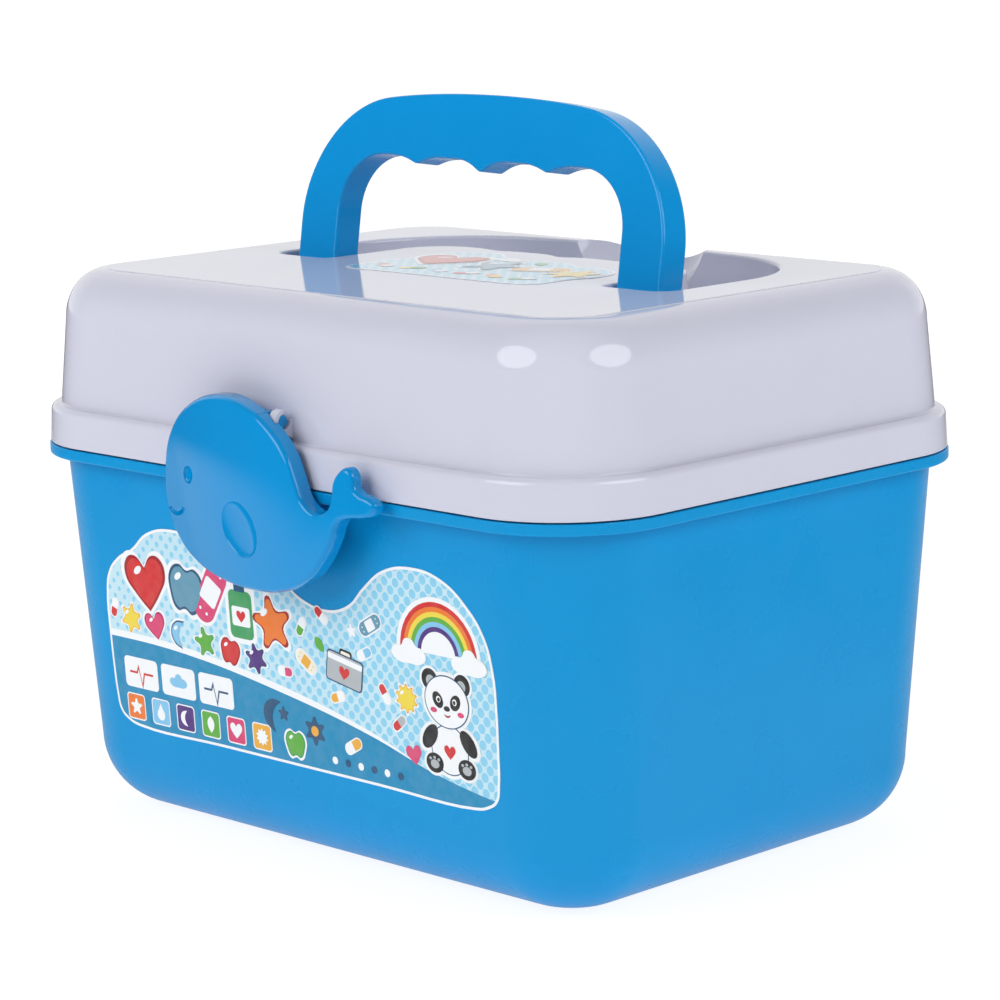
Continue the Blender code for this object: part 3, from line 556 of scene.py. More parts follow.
def lidCavity():
    s = lidShape
    bandTop = s["bandBottom"] + s["bandHeight"] - s["wall"]
    block = casePlan("lidInside", s["wall"], s["bandBottom"] - case["spare"])
    pull(case["spare"])
    step(s["bandDraft"], bandTop - s["bandBottom"])
    step(s["inset"] - s["bandDraft"], s["slope"])
    filletFoot = case["lidTop"] - s["stepRise"] - s["filletRise"]
    step(s["taper"], filletFoot - bandTop)
    bend(s["innerFilletRun"], case["lidTop"] - s["wall"] - filletFoot, 14)
    tidyMesh(block)
    floorZ = case["lidTop"] - recess["depth"] - s["wall"]
    carve(block, recessCutter(s["wall"], floorZ, rounded=False))
    carve(block, scoopBall(s["wall"]))
    return block


def openClip(name, axis, outer, bore, lowX, highX, mouth, root, soften=0.0):
    # round clip on a foot traced by root, with a slot that looks towards mouth and snaps over a pin
    clip = barAlongX(name, axis, outer, lowX, highX, 40)
    carve(clip, sidePlate("clipFoot", root, lowX, highX), "UNION")
    if soften:
        softenEdges(clip, soften, 2, endRim)
    carve(clip, barAlongX("bore", axis, bore, lowX - 0.001, highX + 0.001, 40))
    wedge = [(axis.y, axis.z)] + arc(axis, 3 * outer, mouth - 42, mouth + 42, 42)
    carve(clip, sidePlate("mouth", wedge, lowX - 0.001, highX + 0.001))
    return clip


def lidHingeClip(side):
    s = hinge
    axis = joints["lid_hinge"]
    middle = side * s["spread"] / 2
    lowZ = lidShape["bandBottom"] + 0.0004
    rootY = case["halfY"] - lidShape["bandDraft"] - lidShape["wall"] / 2
    riseY, riseZ = arc(axis, s["clipRadius"], 70, 70)[0]
    lowY = axis.y - math.sqrt(s["clipRadius"] ** 2 - (lowZ - axis.z) ** 2)
    root = [(lowY, lowZ), (axis.y, axis.z + s["footRise"]), (riseY, riseZ), (rootY, axis.z + s["gussetRise"]),
            (rootY, lowZ)]
    half = s["clipWidth"] / 2
    return openClip("hingeClip", axis, s["clipRadius"], s["pinRadius"] + s["clearance"], middle - half,
                    middle + half, s["mouth"], root, 0.0003)


latchEar = {"inner": 0.0047, "width": 0.0029, "radius": 0.0034, "bore": 0.0022, "gusset": 0.0054,
            "mouth": 50, "shelf": 0.14}


def wallY(z):
    # outside of the lid's front wall at a height
    s = lidShape
    bandTop = s["bandBottom"] + s["bandHeight"]
    filletFoot = case["lidTop"] - s["stepRise"] - s["filletRise"]
    return -(case["halfY"] - s["inset"] - s["taper"] * (z - bandTop) / (filletFoot - bandTop))


def lidLatchEar(side):
    s = latchEar
    axis = joints["latch_pivot"]
    rootY = wallY(axis.z) + lidShape["wall"] / 2
    low, high = sorted((side * s["inner"], side * (s["inner"] + s["width"])))
    shelfZ = axis.z + s["radius"] * s["shelf"]
    root = [(axis.y, axis.z - s["radius"]), (rootY, axis.z - s["gusset"]), (rootY, shelfZ),
            (axis.y + s["bore"] + 0.0003, shelfZ)]
    return openClip("latchEar", axis, s["radius"], s["bore"], low, high, s["mouth"], root)


def buildLid():
    lid = lidBlock()
    softenEdges(lid, 0.0003, 2, below(lidShape["bandBottom"] + 0.0001))
    carve(lid, recessCutter(0, case["lidTop"] - recess["depth"], rounded=True))
    carve(lid, scoopBall(0))
    middle = Vector((0, scoop["y"], case["lidTop"] + scoop["rise"]))

    def onBall(vert):
        return abs((vert.co - middle).length - scoop["radius"]) < 0.00004

    softenEdges(lid, scoop["lip"], 4, lambda edge: all(onBall(vert) for vert in edge.verts)
                and edge.verts[0].co.z > case["lidTop"] - recess["depth"] + 0.002
                and any(not all(onBall(vert) for vert in face.verts) for face in edge.link_faces))
    carve(lid, lidCavity())
    for side in (-1, 1):
        carve(lid, lidHingeClip(side), "UNION")
        carve(lid, lidLatchEar(side), "UNION")
        inner = handleShape["half"] - handleShape["leg"] - recess["islandGap"]
        low, high = sorted((side * (inner - 0.003), side * (inner + 0.0016)))
        carve(lid, barAlongX("pinHole", joints["handle_pivot"], handleShape["pinRadius"] + 0.0003, low, high))
    polish(lid)
    print("lid built", len(lid.data.polygons))
    return lid


# handle

def handleOutline(name, shrink, tipWidth, z):
    # the handle's front view, made smaller all round by shrink
    s = handleShape
    half = s["half"] - shrink
    legIn = s["half"] - s["leg"] + shrink
    foot = -s["foot"] + shrink
    toe = (foot, s["toeRound"], 4)
    outline = [(half, *toe)]
    outline += archTop(half, s["outerCorner"] - shrink, s["crownRadius"] - shrink, s["crown"] - shrink)
    outline += [(-half, *toe), (-legIn, *toe)]
    outline += gripLine(legIn, s["innerCorner"] + shrink, s["crown"] - s["grip"] + shrink, tipWidth)
    outline.append((legIn, *toe))
    return traceOutline(name, outline, z)


def middleLine(place):
    # point and direction midway between the handle's two lines, place from 0 to 1
    s = handleShape
    if place > 0.5:
        (x, z), turn = middleLine(1 - place)
        return (-x, z), math.pi - turn
    half = s["half"] - s["leg"] / 2
    top = s["crown"] - s["grip"] / 2
    corner = (s["outerCorner"] + s["innerCorner"]) / 2
    leg = top - corner
    arc = corner * math.pi / 2
    along = place * 2 * (leg + arc + half - corner)
    if along < leg:
        return (half, along), math.pi / 2
    if along < leg + arc:
        turn = (along - leg) / corner
        return (half - corner + corner * math.cos(turn), leg + corner * math.sin(turn)), math.pi / 2 + turn
    return (half - corner - (along - leg - arc), top), math.pi


def handleCore():
    s = handleShape
    back = -s["thick"] / 2
    core = handleOutline("handleCore", s["coreWall"], s["coreTipWidth"], back - case["shallow"])
    pull(case["shallow"] + s["thick"] - s["coreFace"])
    tidyMesh(core)
    for index in range(s["ribCount"]):
        (x, z), turn = middleLine((index + 0.5) / s["ribCount"])
        putDown()
        bpy.ops.mesh.primitive_cube_add(size=1, location=(x, z, 0), rotation=(0, 0, turn))
        rib = bpy.context.object
        rib.scale = (s["rib"], 2 * s["grip"], 4 * s["thick"])
        bpy.ops.object.transform_apply()
        carve(core, rib)
    return core


def buildHandle():
    s = handleShape
    handle = handleOutline("handleBody", 0, s["tipWidth"], -s["thick"] / 2)
    pull(s["thick"])
    tidyMesh(handle)
    half = s["thick"] / 2
    softenEdges(handle, s["edgeRound"], 6, above(half - 0.00001))
    softenEdges(handle, s["edgeRound"] * 0.6, 4, below(0.00001 - half))
    tidyMesh(handle, 0.00002)
    inner = s["half"] - s["leg"]
    for side in (-1, 1):
        low, high = sorted((side * (inner - s["pinLength"]), side * (inner + s["coreWall"] / 2)))
        carve(handle, barAlongX("pin", Vector((0, 0, 0)), s["pinRadius"], low, high), "UNION")
    carve(handle, handleCore())
    pivot = joints["handle_pivot"]
    standUp(handle, pivot.y, -s["lean"], pivot.z)
    polish(handle)
    print("handle built", len(handle.data.polygons))
    return handle


# whale-shaped latch, drawn flat: x, height, distance in front of the case's middle

latchShape = {
    "left": latchLow.x,
    "length": 0.0851,
    "bottom": 0.0816,
    "height": 0.0528,
    "back": 0.08875,
    "front": 0.0939,
    "tailThick": 0.0034,
    "face": 0.002,
    "wall": 0.0017,
    "edgeRun": 0.0013,
    "edgeRise": 0.0017,
    "pinRadius": 0.0019,
    "pinHalf": 0.0068,
    "pinRound": 0.0004,
    "armInner": 0.0012,
    "armWidth": 0.003,
    "armRadius": 0.0028,
    "relief": 0.004,
    "reliefInner": 0.0042,
    "reliefOuter": 0.0081,
    "catchHalf": 0.014,
    "catchThick": 0.0022,
    "catchBack": 0.08755,
    "catchTop": 0.1068,
    "outlineShares": (
        (0.0, 0.545), (0.038, 0.78), (0.136, 0.935), (0.276, 1.0), (0.409, 0.96), (0.52, 0.858),
        (0.592, 0.74), (0.632, 0.612), (0.665, 0.512), (0.719, 0.464), (0.77, 0.484), (0.798, 0.549),
        (0.807, 0.633), (0.833, 0.693), (0.871, 0.722), (0.899, 0.693), (0.906, 0.625), (0.929, 0.598),
        (0.974, 0.581), (1.0, 0.549), (0.986, 0.508), (0.928, 0.477), (0.864, 0.462), (0.823, 0.432),
        (0.795, 0.34), (0.748, 0.22), (0.673, 0.104), (0.562, 0.024), (0.419, 0.0), (0.276, 0.022),
        (0.153, 0.088), (0.059, 0.21), (0.01, 0.375)),
    "hollowEnd": (0.6, 0.3),
    "hollowCorners": ((0.592, 0.74), (0.748, 0.22)),
    "tailRoot": (0.7, 0.455),
    "tailThin": (0.83, 0.455),
    "eye": (0.124, 0.555, 0.0019, 0.0025, 0.0),
    "fin": (0.367, 0.312, 0.0062, 0.0082, math.radians(38)),
    "finRim": 0.0005,
    "smile": (0.062, 0.403, 0.0034, 0.0006),
    "dimple": 0.001,
}


def latchPoint(share):
    s = latchShape
    return (s["left"] + share[0] * s["length"], s["bottom"] + share[1] * s["height"])


def latchDimple(place):
    s = latchShape
    x, z = latchPoint(place)
    putDown()
    bpy.ops.mesh.primitive_uv_sphere_add(segments=48, ring_count=24, radius=1, location=(x, z, s["front"]),
                                         rotation=(0, 0, place[4]))
    ball = bpy.context.object
    ball.scale = (place[2], place[3], s["dimple"])
    bpy.ops.object.transform_apply()
    return ball


def latchSmile():
    # part of a thin ring pressed into the face
    s = latchShape
    x, z = latchPoint(s["smile"])
    putDown()
    bpy.ops.mesh.primitive_torus_add(location=(x, z, s["front"]), major_radius=s["smile"][2],
                                     minor_radius=s["smile"][3], major_segments=72, minor_segments=12)
    ring = bpy.context.object
    bpy.ops.object.transform_apply()
    bpy.ops.object.mode_set(mode="EDIT")
    for turn in (math.radians(25), math.radians(-35)):
        pickAll()
        bpy.ops.mesh.bisect(plane_co=(x, z, s["front"]), plane_no=(math.sin(turn), math.cos(turn), 0),
                            clear_outer=True, use_fill=True)
    putDown()
    return ring


def latchCarrier():
    # two arms, the pin across them and the lip that snaps under the rim
    s = latchShape
    axis = joints["latch_pivot"]
    face = -s["front"] + s["face"] / 2
    parts = []
    for side in (-1, 1):
        low, high = sorted((side * s["armInner"], side * (s["armInner"] + s["armWidth"])))
        outline = [(face, axis.z - 2 * s["armRadius"])] + arc(axis, s["armRadius"], -90, 90)
        parts.append(sidePlate("latchArm", outline + [(face, axis.z + s["armRadius"])], low, high))
    parts.append(barAlongX("latchPin", axis, s["pinRadius"], -s["pinHalf"], s["pinHalf"]))
    softenEdges(parts[-1], s["pinRound"], 3, endRim)
    lip = [(face, s["catchTop"] - 2 * s["catchThick"]), (-s["catchBack"], s["catchTop"] - s["catchThick"]),
           (-s["catchBack"], s["catchTop"]), (face, s["catchTop"])]
    parts.append(sidePlate("latchCatch", lip, -s["catchHalf"], s["catchHalf"]))
    return parts


def buildLatch():
    s = latchShape
    latch = drawLoop("latchBody", [latchPoint(share) for share in s["outlineShares"]], 6, s["back"])
    pull(s["front"] - s["back"] - s["edgeRise"])
    bend(s["edgeRun"], s["edgeRise"], 7)
    tidyMesh(latch)
    body = [share for share in s["outlineShares"] if share[0] < s["hollowEnd"][0] or share[1] < s["hollowEnd"][1]]
    line = [latchPoint(share) + ((1,) if share in s["hollowCorners"] else ()) for share in body]
    hollow = drawLoop("latchHollow", line, 6, s["back"] - case["shallow"])
    keepInside(s["wall"])
    pull(case["shallow"] + s["front"] - s["face"] - s["back"])
    tidyMesh(hollow)
    carve(latch, hollow)
    for mark in (latchDimple(s["eye"]), latchDimple(s["fin"]), latchSmile()):
        carve(latch, mark)
    finX, finZ = latchPoint(s["fin"])
    reach = s["fin"][3] + s["finRim"]
    softenEdges(latch, s["finRim"], 3, lambda edge: above(s["front"] - 0.000002)(edge) and all(
        math.hypot(vert.co.x - finX, vert.co.y - finZ) < reach for vert in edge.verts))
    standUp(latch)
    # the tail thins towards its tip, from behind
    rootX, rootZ = latchPoint(s["tailRoot"])
    thinX = latchPoint(s["tailThin"])[0]
    farX, farZ = latchPoint((1.1, 1.0))
    tailBack = s["tailThick"] - s["front"]
    clear = case["shallow"] - s["back"]
    behind = traceOutline("behindTail", [(rootX, clear), (rootX, -s["back"]), (thinX, tailBack), (farX, tailBack),
                                         (farX, clear)], rootZ)
    pull(farZ - rootZ)
    tidyMesh(behind)
    carve(latch, behind)
    for side in (-1, 1):
        low, high = sorted((side * s["reliefInner"], side * s["reliefOuter"]))
        carve(latch, barAlongX("relief", joints["latch_pivot"], s["relief"], low, high))
    for part in latchCarrier():
        carve(latch, part, "UNION")
    polish(latch)
    print("latch built", len(latch.data.polygons))
    return latch


# labels: thin sheets with a layered print, drawn flat and then stood against the wall

labelShape = {
    "thick": 0.00012,
    "gap": 0.00004,
    "margin": 0.0008,
    "layer": 0.000012,
    "touch": 0.0000003,
    "inkShare": 1.6,
    "frontWidth": 0.16,
    "frontHeight": 0.064,
    "frontBottom": 0.029,
    "frontShares": (
        (0.07, 0.0), (0.3, 0.0), (0.5, 0.0), (0.7, 0.0), (0.93, 0.0), (0.962, 0.018),
        (0.985, 0.058), (0.993, 0.14), (0.996, 0.28), (0.998, 0.45), (0.995, 0.61), (0.98, 0.75),
        (0.94, 0.88), (0.885, 0.97), (0.815, 0.998), (0.745, 0.96), (0.695, 0.87), (0.655, 0.78),
        (0.6, 0.74), (0.54, 0.765), (0.49, 0.83), (0.43, 0.86), (0.375, 0.84), (0.325, 0.87),
        (0.27, 0.935), (0.2, 0.965), (0.13, 0.925), (0.085, 0.84), (0.045, 0.79), (0.014, 0.71),
        (0.003, 0.6), (0.002, 0.45), (0.004, 0.28), (0.008, 0.14), (0.016, 0.058), (0.038, 0.018)),
    "topWidth": 0.08,
    "topDepth": 0.05,
    "topLeft": -0.0366,
    "topFront": -0.0245,
    "topShares": (
        (0.04, 0.01), (0.25, 0.004), (0.5, 0.004), (0.75, 0.006), (0.88, 0.02), (0.945, 0.08),
        (0.955, 0.2), (0.955, 0.33), (0.992, 0.5), (0.96, 0.7), (0.86, 0.79), (0.74, 0.79),
        (0.64, 0.865), (0.53, 0.87), (0.43, 0.82), (0.33, 0.87), (0.21, 0.99), (0.09, 0.96),
        (0.025, 0.8), (0.04, 0.6), (0.008, 0.42), (0.012, 0.2), (0.014, 0.06)),
}


def rays(count, valley):
    turns = [(math.pi * k / count, valley if k % 2 else 1.0) for k in range(2 * count)]
    return tuple((reach * math.sin(turn), reach * math.cos(turn)) for turn, reach in turns)


unitShapes = {
    "heart": ((0.0, -0.92, 1), (0.58, -0.36), (0.98, 0.24), (0.83, 0.76), (0.4, 0.86), (0.0, 0.48, 1),
              (-0.4, 0.86), (-0.83, 0.76), (-0.98, 0.24), (-0.58, -0.36)),
    "drop": ((0.0, 1.05, 1), (0.34, 0.4), (0.64, -0.12), (0.52, -0.72), (0.0, -0.98), (-0.52, -0.72),
             (-0.64, -0.12), (-0.34, 0.4)),
    "moon": ((0.3, 0.95, 1), (-0.5, 0.72), (-0.88, 0.0), (-0.5, -0.72), (0.3, -0.95, 1), (-0.06, -0.42),
             (-0.16, 0.0), (-0.06, 0.42)),
    "leaf": ((0.0, 1.0, 1), (0.52, 0.42), (0.5, -0.34), (0.0, -1.0, 1), (-0.5, -0.34), (-0.52, 0.42)),
    "apple": ((0.0, 0.62), (0.42, 0.76), (0.86, 0.4), (0.8, -0.36), (0.4, -0.92), (0.0, -0.8), (-0.4, -0.92),
              (-0.8, -0.36), (-0.86, 0.4), (-0.42, 0.76)),
    "cloud": ((-0.7, -0.42), (0.0, -0.46), (0.72, -0.42), (1.05, -0.1), (0.82, 0.24), (0.48, 0.34), (0.2, 0.62),
              (-0.22, 0.58), (-0.44, 0.28), (-0.8, 0.26), (-1.05, -0.08)),
    "star": rays(5, 0.56),
    "flower": rays(6, 0.62),
    "sun": rays(10, 0.74),
    "pulse": ((-1.0, 0.06, 1), (-0.4, 0.06, 1), (-0.22, 0.5, 1), (0.02, -0.62, 1), (0.2, 0.06, 1), (1.0, 0.06, 1),
              (1.0, -0.06, 1), (0.28, -0.06, 1), (0.03, -0.9, 1), (-0.22, 0.22, 1), (-0.34, -0.06, 1),
              (-1.0, -0.06, 1)),
}

inkColours = {
    "white": (0.86, 0.88, 0.9), "red": (0.62, 0.03, 0.03), "deepRed": (0.34, 0.012, 0.016),
    "navy": (0.02, 0.085, 0.18), "blueGrey": (0.12, 0.3, 0.42), "pink": (0.66, 0.06, 0.17),
    "magenta": (0.42, 0.02, 0.11), "green": (0.06, 0.33, 0.12), "leafGreen": (0.11, 0.4, 0.05),
    "orange": (0.8, 0.19, 0.03), "yellow": (0.82, 0.64, 0.06), "amber": (0.8, 0.4, 0.04),
    "sky": (0.22, 0.53, 0.78), "purple": (0.08, 0.03, 0.2), "skin": (0.84, 0.6, 0.48),
    "brown": (0.035, 0.02, 0.016), "black": (0.012, 0.012, 0.014), "grey": (0.42, 0.45, 0.47),
    "cream": (0.84, 0.8, 0.66),
}


def printLayer(piece, place, size, turn, ink, layer, sheet):
    # moves a flat motif to its place in the print and gives it its thin body
    putDown()
    piece.scale = (size[0], size[1], 1)
    piece.rotation_euler = (0, 0, math.radians(turn))
    # each a touch higher than the last, so that no two prints share a plane
    lift = layer * labelShape["layer"] + len(sheet) * labelShape["touch"]
    piece.location = (place[0], place[1], labelShape["thick"] + lift)
    pickUp(piece)
    bpy.ops.object.transform_apply()
    bpy.ops.object.mode_set(mode="EDIT")
    pickAll("FACE")
    pull(labelShape["layer"] * labelShape["inkShare"])
    pickAll()
    bpy.ops.mesh.normals_make_consistent(inside=False)
    # so thin a body can come out turned inside out
    if max(bmesh.from_edit_mesh(piece.data).faces, key=lambda face: face.calc_center_median().z).normal.z < 0:
        bpy.ops.mesh.flip_normals()
    putDown()
    piece.data.materials.append(inks[ink])
    sheet.append(piece)
    return piece


def disc(place, size, ink, layer, sheet, turn=0.0):
    putDown()
    bpy.ops.mesh.primitive_circle_add(vertices=40, radius=1, fill_type="NGON")
    return printLayer(bpy.context.object, place, size, turn, ink, layer, sheet)


def panel(place, size, corner, ink, layer, sheet, turn=0.0):
    piece = startPlan("panel", size[0], size[1], min(corner, 0.998 * size[0], 0.998 * size[1]), 0)
    return printLayer(piece, place, (1, 1), turn, ink, layer, sheet)


def motif(kind, place, size, ink, layer, sheet, turn=0.0):
    piece = drawLoop(kind, unitShapes[kind], 5)
    return printLayer(piece, place, (size, size), turn, ink, layer, sheet)


def bigMotif(kind, place, size, ink, outlineShadeInk, sheet, turn=0.0):
    # white backing, a dark rim that is partly outline and partly painted shade deepening towards the edge, the body,
    # and a painted highlight (a small white glint), like a glossy sticker
    motif(kind, place, size * 1.17, "white", 3, sheet, turn)
    # dark rim: outline ink that also paints shade towards the edge
    motif(kind, place, size, outlineShadeInk, 6, sheet, turn)
    motif(kind, place, size * 0.88, ink, 8, sheet, turn)
    # painted highlight: a small white ellipse at the body's upper left
    disc((place[0] - size * 0.38, place[1] + size * 0.36), (size * 0.2, size * 0.11), "white", 10, sheet, 35)


def pill(place, half, radius, ink, otherInk, layer, sheet, turn):
    away = Vector((math.cos(math.radians(turn)), math.sin(math.radians(turn))))
    panel(place, (half + 0.0004, radius + 0.0004), radius + 0.0004, "white", layer, sheet, turn)
    panel(place, (half, radius), radius, ink, layer + 2, sheet, turn)
    cap = Vector(place) + away * half * 0.5
    panel(cap, (half * 0.5, radius * 1.01), radius, otherInk, layer + 4, sheet, turn)
    panel(Vector(place) + away * half * 0.22, (half * 0.24, radius * 1.01), 0.0002, otherInk, layer + 5, sheet, turn)


def plaster(place, half, radius, ink, padInk, sheet, turn):
    panel(place, (half * 1.1, radius + half * 0.1), radius + half * 0.1, "white", 3, sheet, turn)
    panel(place, (half, radius), radius, ink, 6, sheet, turn)
    panel(place, (radius * 0.85, radius * 0.8), radius * 0.2, padInk, 8, sheet, turn)
    away = Vector((math.cos(math.radians(turn)), math.sin(math.radians(turn))))
    across = Vector((-away.y, away.x))
    for side in (-1, 1):
        for row in (-1, 1):
            spot = Vector(place) + away * side * half * 0.68 + across * row * radius * 0.34
            disc(spot, (radius * 0.11, radius * 0.11), padInk, 8, sheet)


def bottle(place, size, ink, sheet, turn=0.0):
    x, y = place
    for up, wide, high, corner, paint, layer in (
            (-0.1, 0.66, 0.98, 0.3, "white", 3), (-0.18, 0.52, 0.74, 0.2, ink, 6), (0.72, 0.3, 0.2, 0.08, "white", 4),
            (0.68, 0.24, 0.16, 0.06, "navy", 8), (-0.24, 0.4, 0.3, 0.08, "white", 8)):
        panel((x, y + size * up), (size * wide, size * high), size * corner, paint, layer, sheet, turn)
    motif("heart", (x, y - size * 0.24), size * 0.2, "red", 10, sheet, turn)


def bag(place, size, sheet, turn):
    # plain doctor's bag with a heart on it
    lean = math.radians(turn)
    away = Vector((-math.sin(lean), math.cos(lean))) * size
    for up, wide, high, corner, ink, layer in (
            (0.62, 0.36, 0.26, 0.12, "black", 4), (0.62, 0.27, 0.17, 0.08, "cream", 6),
            (0.0, 1.06, 0.66, 0.18, "navy", 7), (0.0, 1.0, 0.6, 0.14, "grey", 9), (0.4, 1.0, 0.12, 0.05, "white", 11)):
        panel(Vector(place) + away * up, (size * wide, size * high), size * corner, ink, layer, sheet, turn)
    motif("heart", Vector(place) - away * 0.12, size * 0.3, "red", 12, sheet, turn)


def panda(place, size, sheet):
    # plain toy panda that sits, seen from the front; place is the middle of its head
    x, y = place

    def blob(across, up, wide, high, ink, layer, turn=0.0):
        disc((x + size * across, y + size * up), (size * wide, size * high), ink, layer, sheet, turn)

    for side in (-1, 1):
        blob(side * 0.74, 0.66, 0.46, 0.46, "white", 3)
        blob(side * 0.74, 0.66, 0.37, 0.37, "black", 5)
        blob(side * 0.7, 0.62, 0.2, 0.2, "grey", 7)
        blob(side * 0.92, -1.3, 0.4, 0.6, "white", 3, side * 38)
        blob(side * 0.88, -1.28, 0.28, 0.5, "black", 11, side * 38)
        blob(side * 0.74, -2.16, 0.5, 0.44, "white", 3)
        blob(side * 0.74, -2.16, 0.4, 0.34, "black", 11)
        blob(side * 0.74, -2.2, 0.2, 0.15, "grey", 13)
        for toe in (-1, 0, 1):
            blob(side * 0.74 + toe * 0.19, -1.98 - abs(toe) * 0.05, 0.06, 0.05, "grey", 13)
    blob(0, -1.62, 0.98, 0.98, "white", 4)
    blob(0, -1.62, 0.86, 0.86, "navy", 6)
    blob(0, -1.62, 0.82, 0.82, "white", 8)
    motif("heart", (x, y - size * 1.7), size * 0.26, "red", 12, sheet)
    blob(0, 0, 1.14, 1.02, "white", 4)
    blob(0, 0, 1.02, 0.9, "navy", 12)
    blob(0, 0, 0.98, 0.86, "white", 14)
    for side in (-1, 1):
        blob(side * 0.4, 0.03, 0.22, 0.29, "black", 16, side * -32)
        blob(side * 0.37, 0.05, 0.1, 0.11, "white", 18)
        blob(side * 0.36, 0.04, 0.06, 0.07, "brown", 20)
        blob(side * 0.62, -0.34, 0.15, 0.09, "pink", 16)
    blob(0, -0.4, 0.15, 0.12, "deepRed", 16)
    blob(0, -0.34, 0.19, 0.11, "white", 18)
    blob(0, -0.22, 0.14, 0.09, "black", 20)


def rainbow(place, size, sheet):
    # half rings laid over each other, ending in two clouds
    for index, ink in enumerate(("white", "red", "orange", "yellow", "leafGreen", "sky", "purple", "white")):
        ring = disc(place, (size * (1.06 - 0.09 * index), size * (1.06 - 0.09 * index)), ink, 2 + index, sheet)
        startEdit(ring)
        pickAll()
        bpy.ops.mesh.bisect(plane_co=(place[0], place[1], 0), plane_no=(0, -1, 0), clear_outer=True, use_fill=True)
        putDown()
    for side in (-1, 1):
        motif("cloud", (place[0] + side * size * 0.76, place[1] - size * 0.06), size * 0.42, "white", 11, sheet)


def startSheet(name, points):
    # paper and the dotted print inside its white margin
    s = labelShape
    base = drawLoop(name, points, 6)
    pull(s["thick"])
    tidyMesh(base)
    base.data.materials.append(inks["white"])
    ground = drawLoop("dots", points, 6, s["thick"])
    keepInside(s["margin"])
    pull(s["layer"])
    tidyMesh(ground)
    ground.data.materials.append(dottedInk)
    return [base, ground]


def buildFrontPrint():
    s = labelShape
    points = [(-s["frontWidth"] / 2 + u * s["frontWidth"], s["frontBottom"] + v * s["frontHeight"])
              for u, v in s["frontShares"]]
    sheet = startSheet("frontLabelSheet", points)
    # white sweep and teal band below it, cut to the printed area
    for ink, lift, layer in (("white", 0.002, 1), ("teal", 0.0, 2)):
        band = drawLoop("band", ((-0.09, 0.0555 + lift, 1), (-0.048, 0.0546 + lift), (-0.002, 0.049 + lift),
                                 (0.03, 0.043 + lift * 0.6), (0.056, 0.0362), (0.09, 0.031, 1), (0.09, 0.02, 1),
                                 (-0.09, 0.02, 1)), 10, s["thick"] - s["layer"])
        pull(s["layer"] * (layer + s["inkShare"]))
        tidyMesh(band)
        area = drawLoop("area", points, 6, 0)
        keepInside(s["margin"])
        pull(0.001)
        tidyMesh(area)
        carve(band, area, "INTERSECT")
        band.data.materials.clear()
        band.data.materials.append(bandInk if ink == "teal" else inks["white"])
        sheet.append(band)
    bigMotif("heart", (-0.0607, 0.0735), 0.0092, "red", "deepRed", sheet, 6)
    bigMotif("apple", (-0.0432, 0.0745), 0.0082, "blueGrey", "navy", sheet, -8)
    plaster((-0.0325, 0.0745), 0.01, 0.0044, "pink", "white", sheet, 58)
    bottle((-0.02, 0.0715), 0.0094, "green", sheet)
    bigMotif("star", (-0.007, 0.069), 0.0082, "orange", "deepRed", sheet, 10)
    for index, (kind, ink, rim) in enumerate((("flower", "yellow", "amber"), ("heart", "pink", "magenta"),
                                              ("moon", "sky", "navy"), ("star", "leafGreen", "green"),
                                              ("apple", "red", "deepRed"), ("flower", "purple", "navy"))):
        spot = (-0.069 + 0.0108 * index, 0.0618 - 0.0008 * index)
        bigMotif(kind, spot, 0.0045, ink, rim, sheet, 12 if index % 2 else -10)
    for x, y, turn, ink, other in ((0.005, 0.07, 60, "leafGreen", "white"), (0.0135, 0.0745, -40, "red", "white"),
                                   (0.03, 0.066, 25, "white", "sky"), (0.037, 0.056, -58, "red", "white"),
                                   (0.018, 0.052, 20, "amber", "white"), (-0.003, 0.056, 0, "white", "pink"),
                                   (-0.0762, 0.064, 70, "red", "white"), (0.042, 0.0485, 40, "red", "grey")):
        pill((x, y), 0.0028, 0.0012, ink, other, 3, sheet, turn)
    plaster((0.006, 0.0602), 0.0042, 0.0019, "cream", "amber", sheet, -35)
    plaster((0.033, 0.0745), 0.0046, 0.002, "blueGrey", "white", sheet, 30)
    bag((0.0215, 0.06), 0.0068, sheet, -10)
    motif("leaf", (0.012, 0.066), 0.0026, "leafGreen", 3, sheet, 40)
    motif("star", (0.0255, 0.0718), 0.002, "white", 3, sheet, 10)
    rainbow((0.059, 0.07), 0.015, sheet)
    panda((0.061, 0.0575), 0.0082, sheet)
    bigMotif("sun", (0.0455, 0.056), 0.0042, "yellow", "amber", sheet)
    motif("heart", (0.047, 0.0405), 0.003, "pink", 4, sheet, 12)
    # lower band: cards, tiles and small marks
    for index, (kind, ink) in enumerate((("pulse", "red"), ("cloud", "sky"), ("pulse", "navy"))):
        spot = (-0.0665 + 0.0165 * index, 0.0455)
        panel(spot, (0.0074, 0.0046), 0.0014, "white", 4, sheet)
        motif(kind, spot, 0.0052 if kind == "pulse" else 0.0036, ink, 7, sheet)
    for index, (kind, ink) in enumerate((("star", "orange"), ("drop", "sky"), ("moon", "purple"), ("leaf", "leafGreen"),
                                         ("heart", "pink"), ("sun", "amber"))):
        spot = (-0.07 + 0.011 * index, 0.035)
        panel(spot, (0.004, 0.004), 0.0012, "white", 4, sheet)
        panel(spot, (0.0036, 0.0036), 0.0009, ink, 6, sheet)
        motif(kind, spot, 0.0025, "white", 8, sheet)
    motif("moon", (-0.009, 0.0425), 0.0052, "navy", 4, sheet, -18)
    motif("star", (-0.0052, 0.0434), 0.0022, "navy", 4, sheet)
    bigMotif("apple", (-0.001, 0.0356), 0.0044, "leafGreen", "green", sheet)
    motif("flower", (0.0075, 0.0405), 0.0042, "navy", 4, sheet)
    disc((0.0075, 0.0405), (0.0015, 0.0015), "amber", 6, sheet)
    for index in range(6):
        disc((0.015 + 0.0052 * index, 0.0334), (0.0011, 0.0011), "navy" if index % 2 else "white", 4, sheet)
    pill((0.023, 0.0388), 0.0034, 0.0014, "white", "amber", 4, sheet, 30)
    return sheet


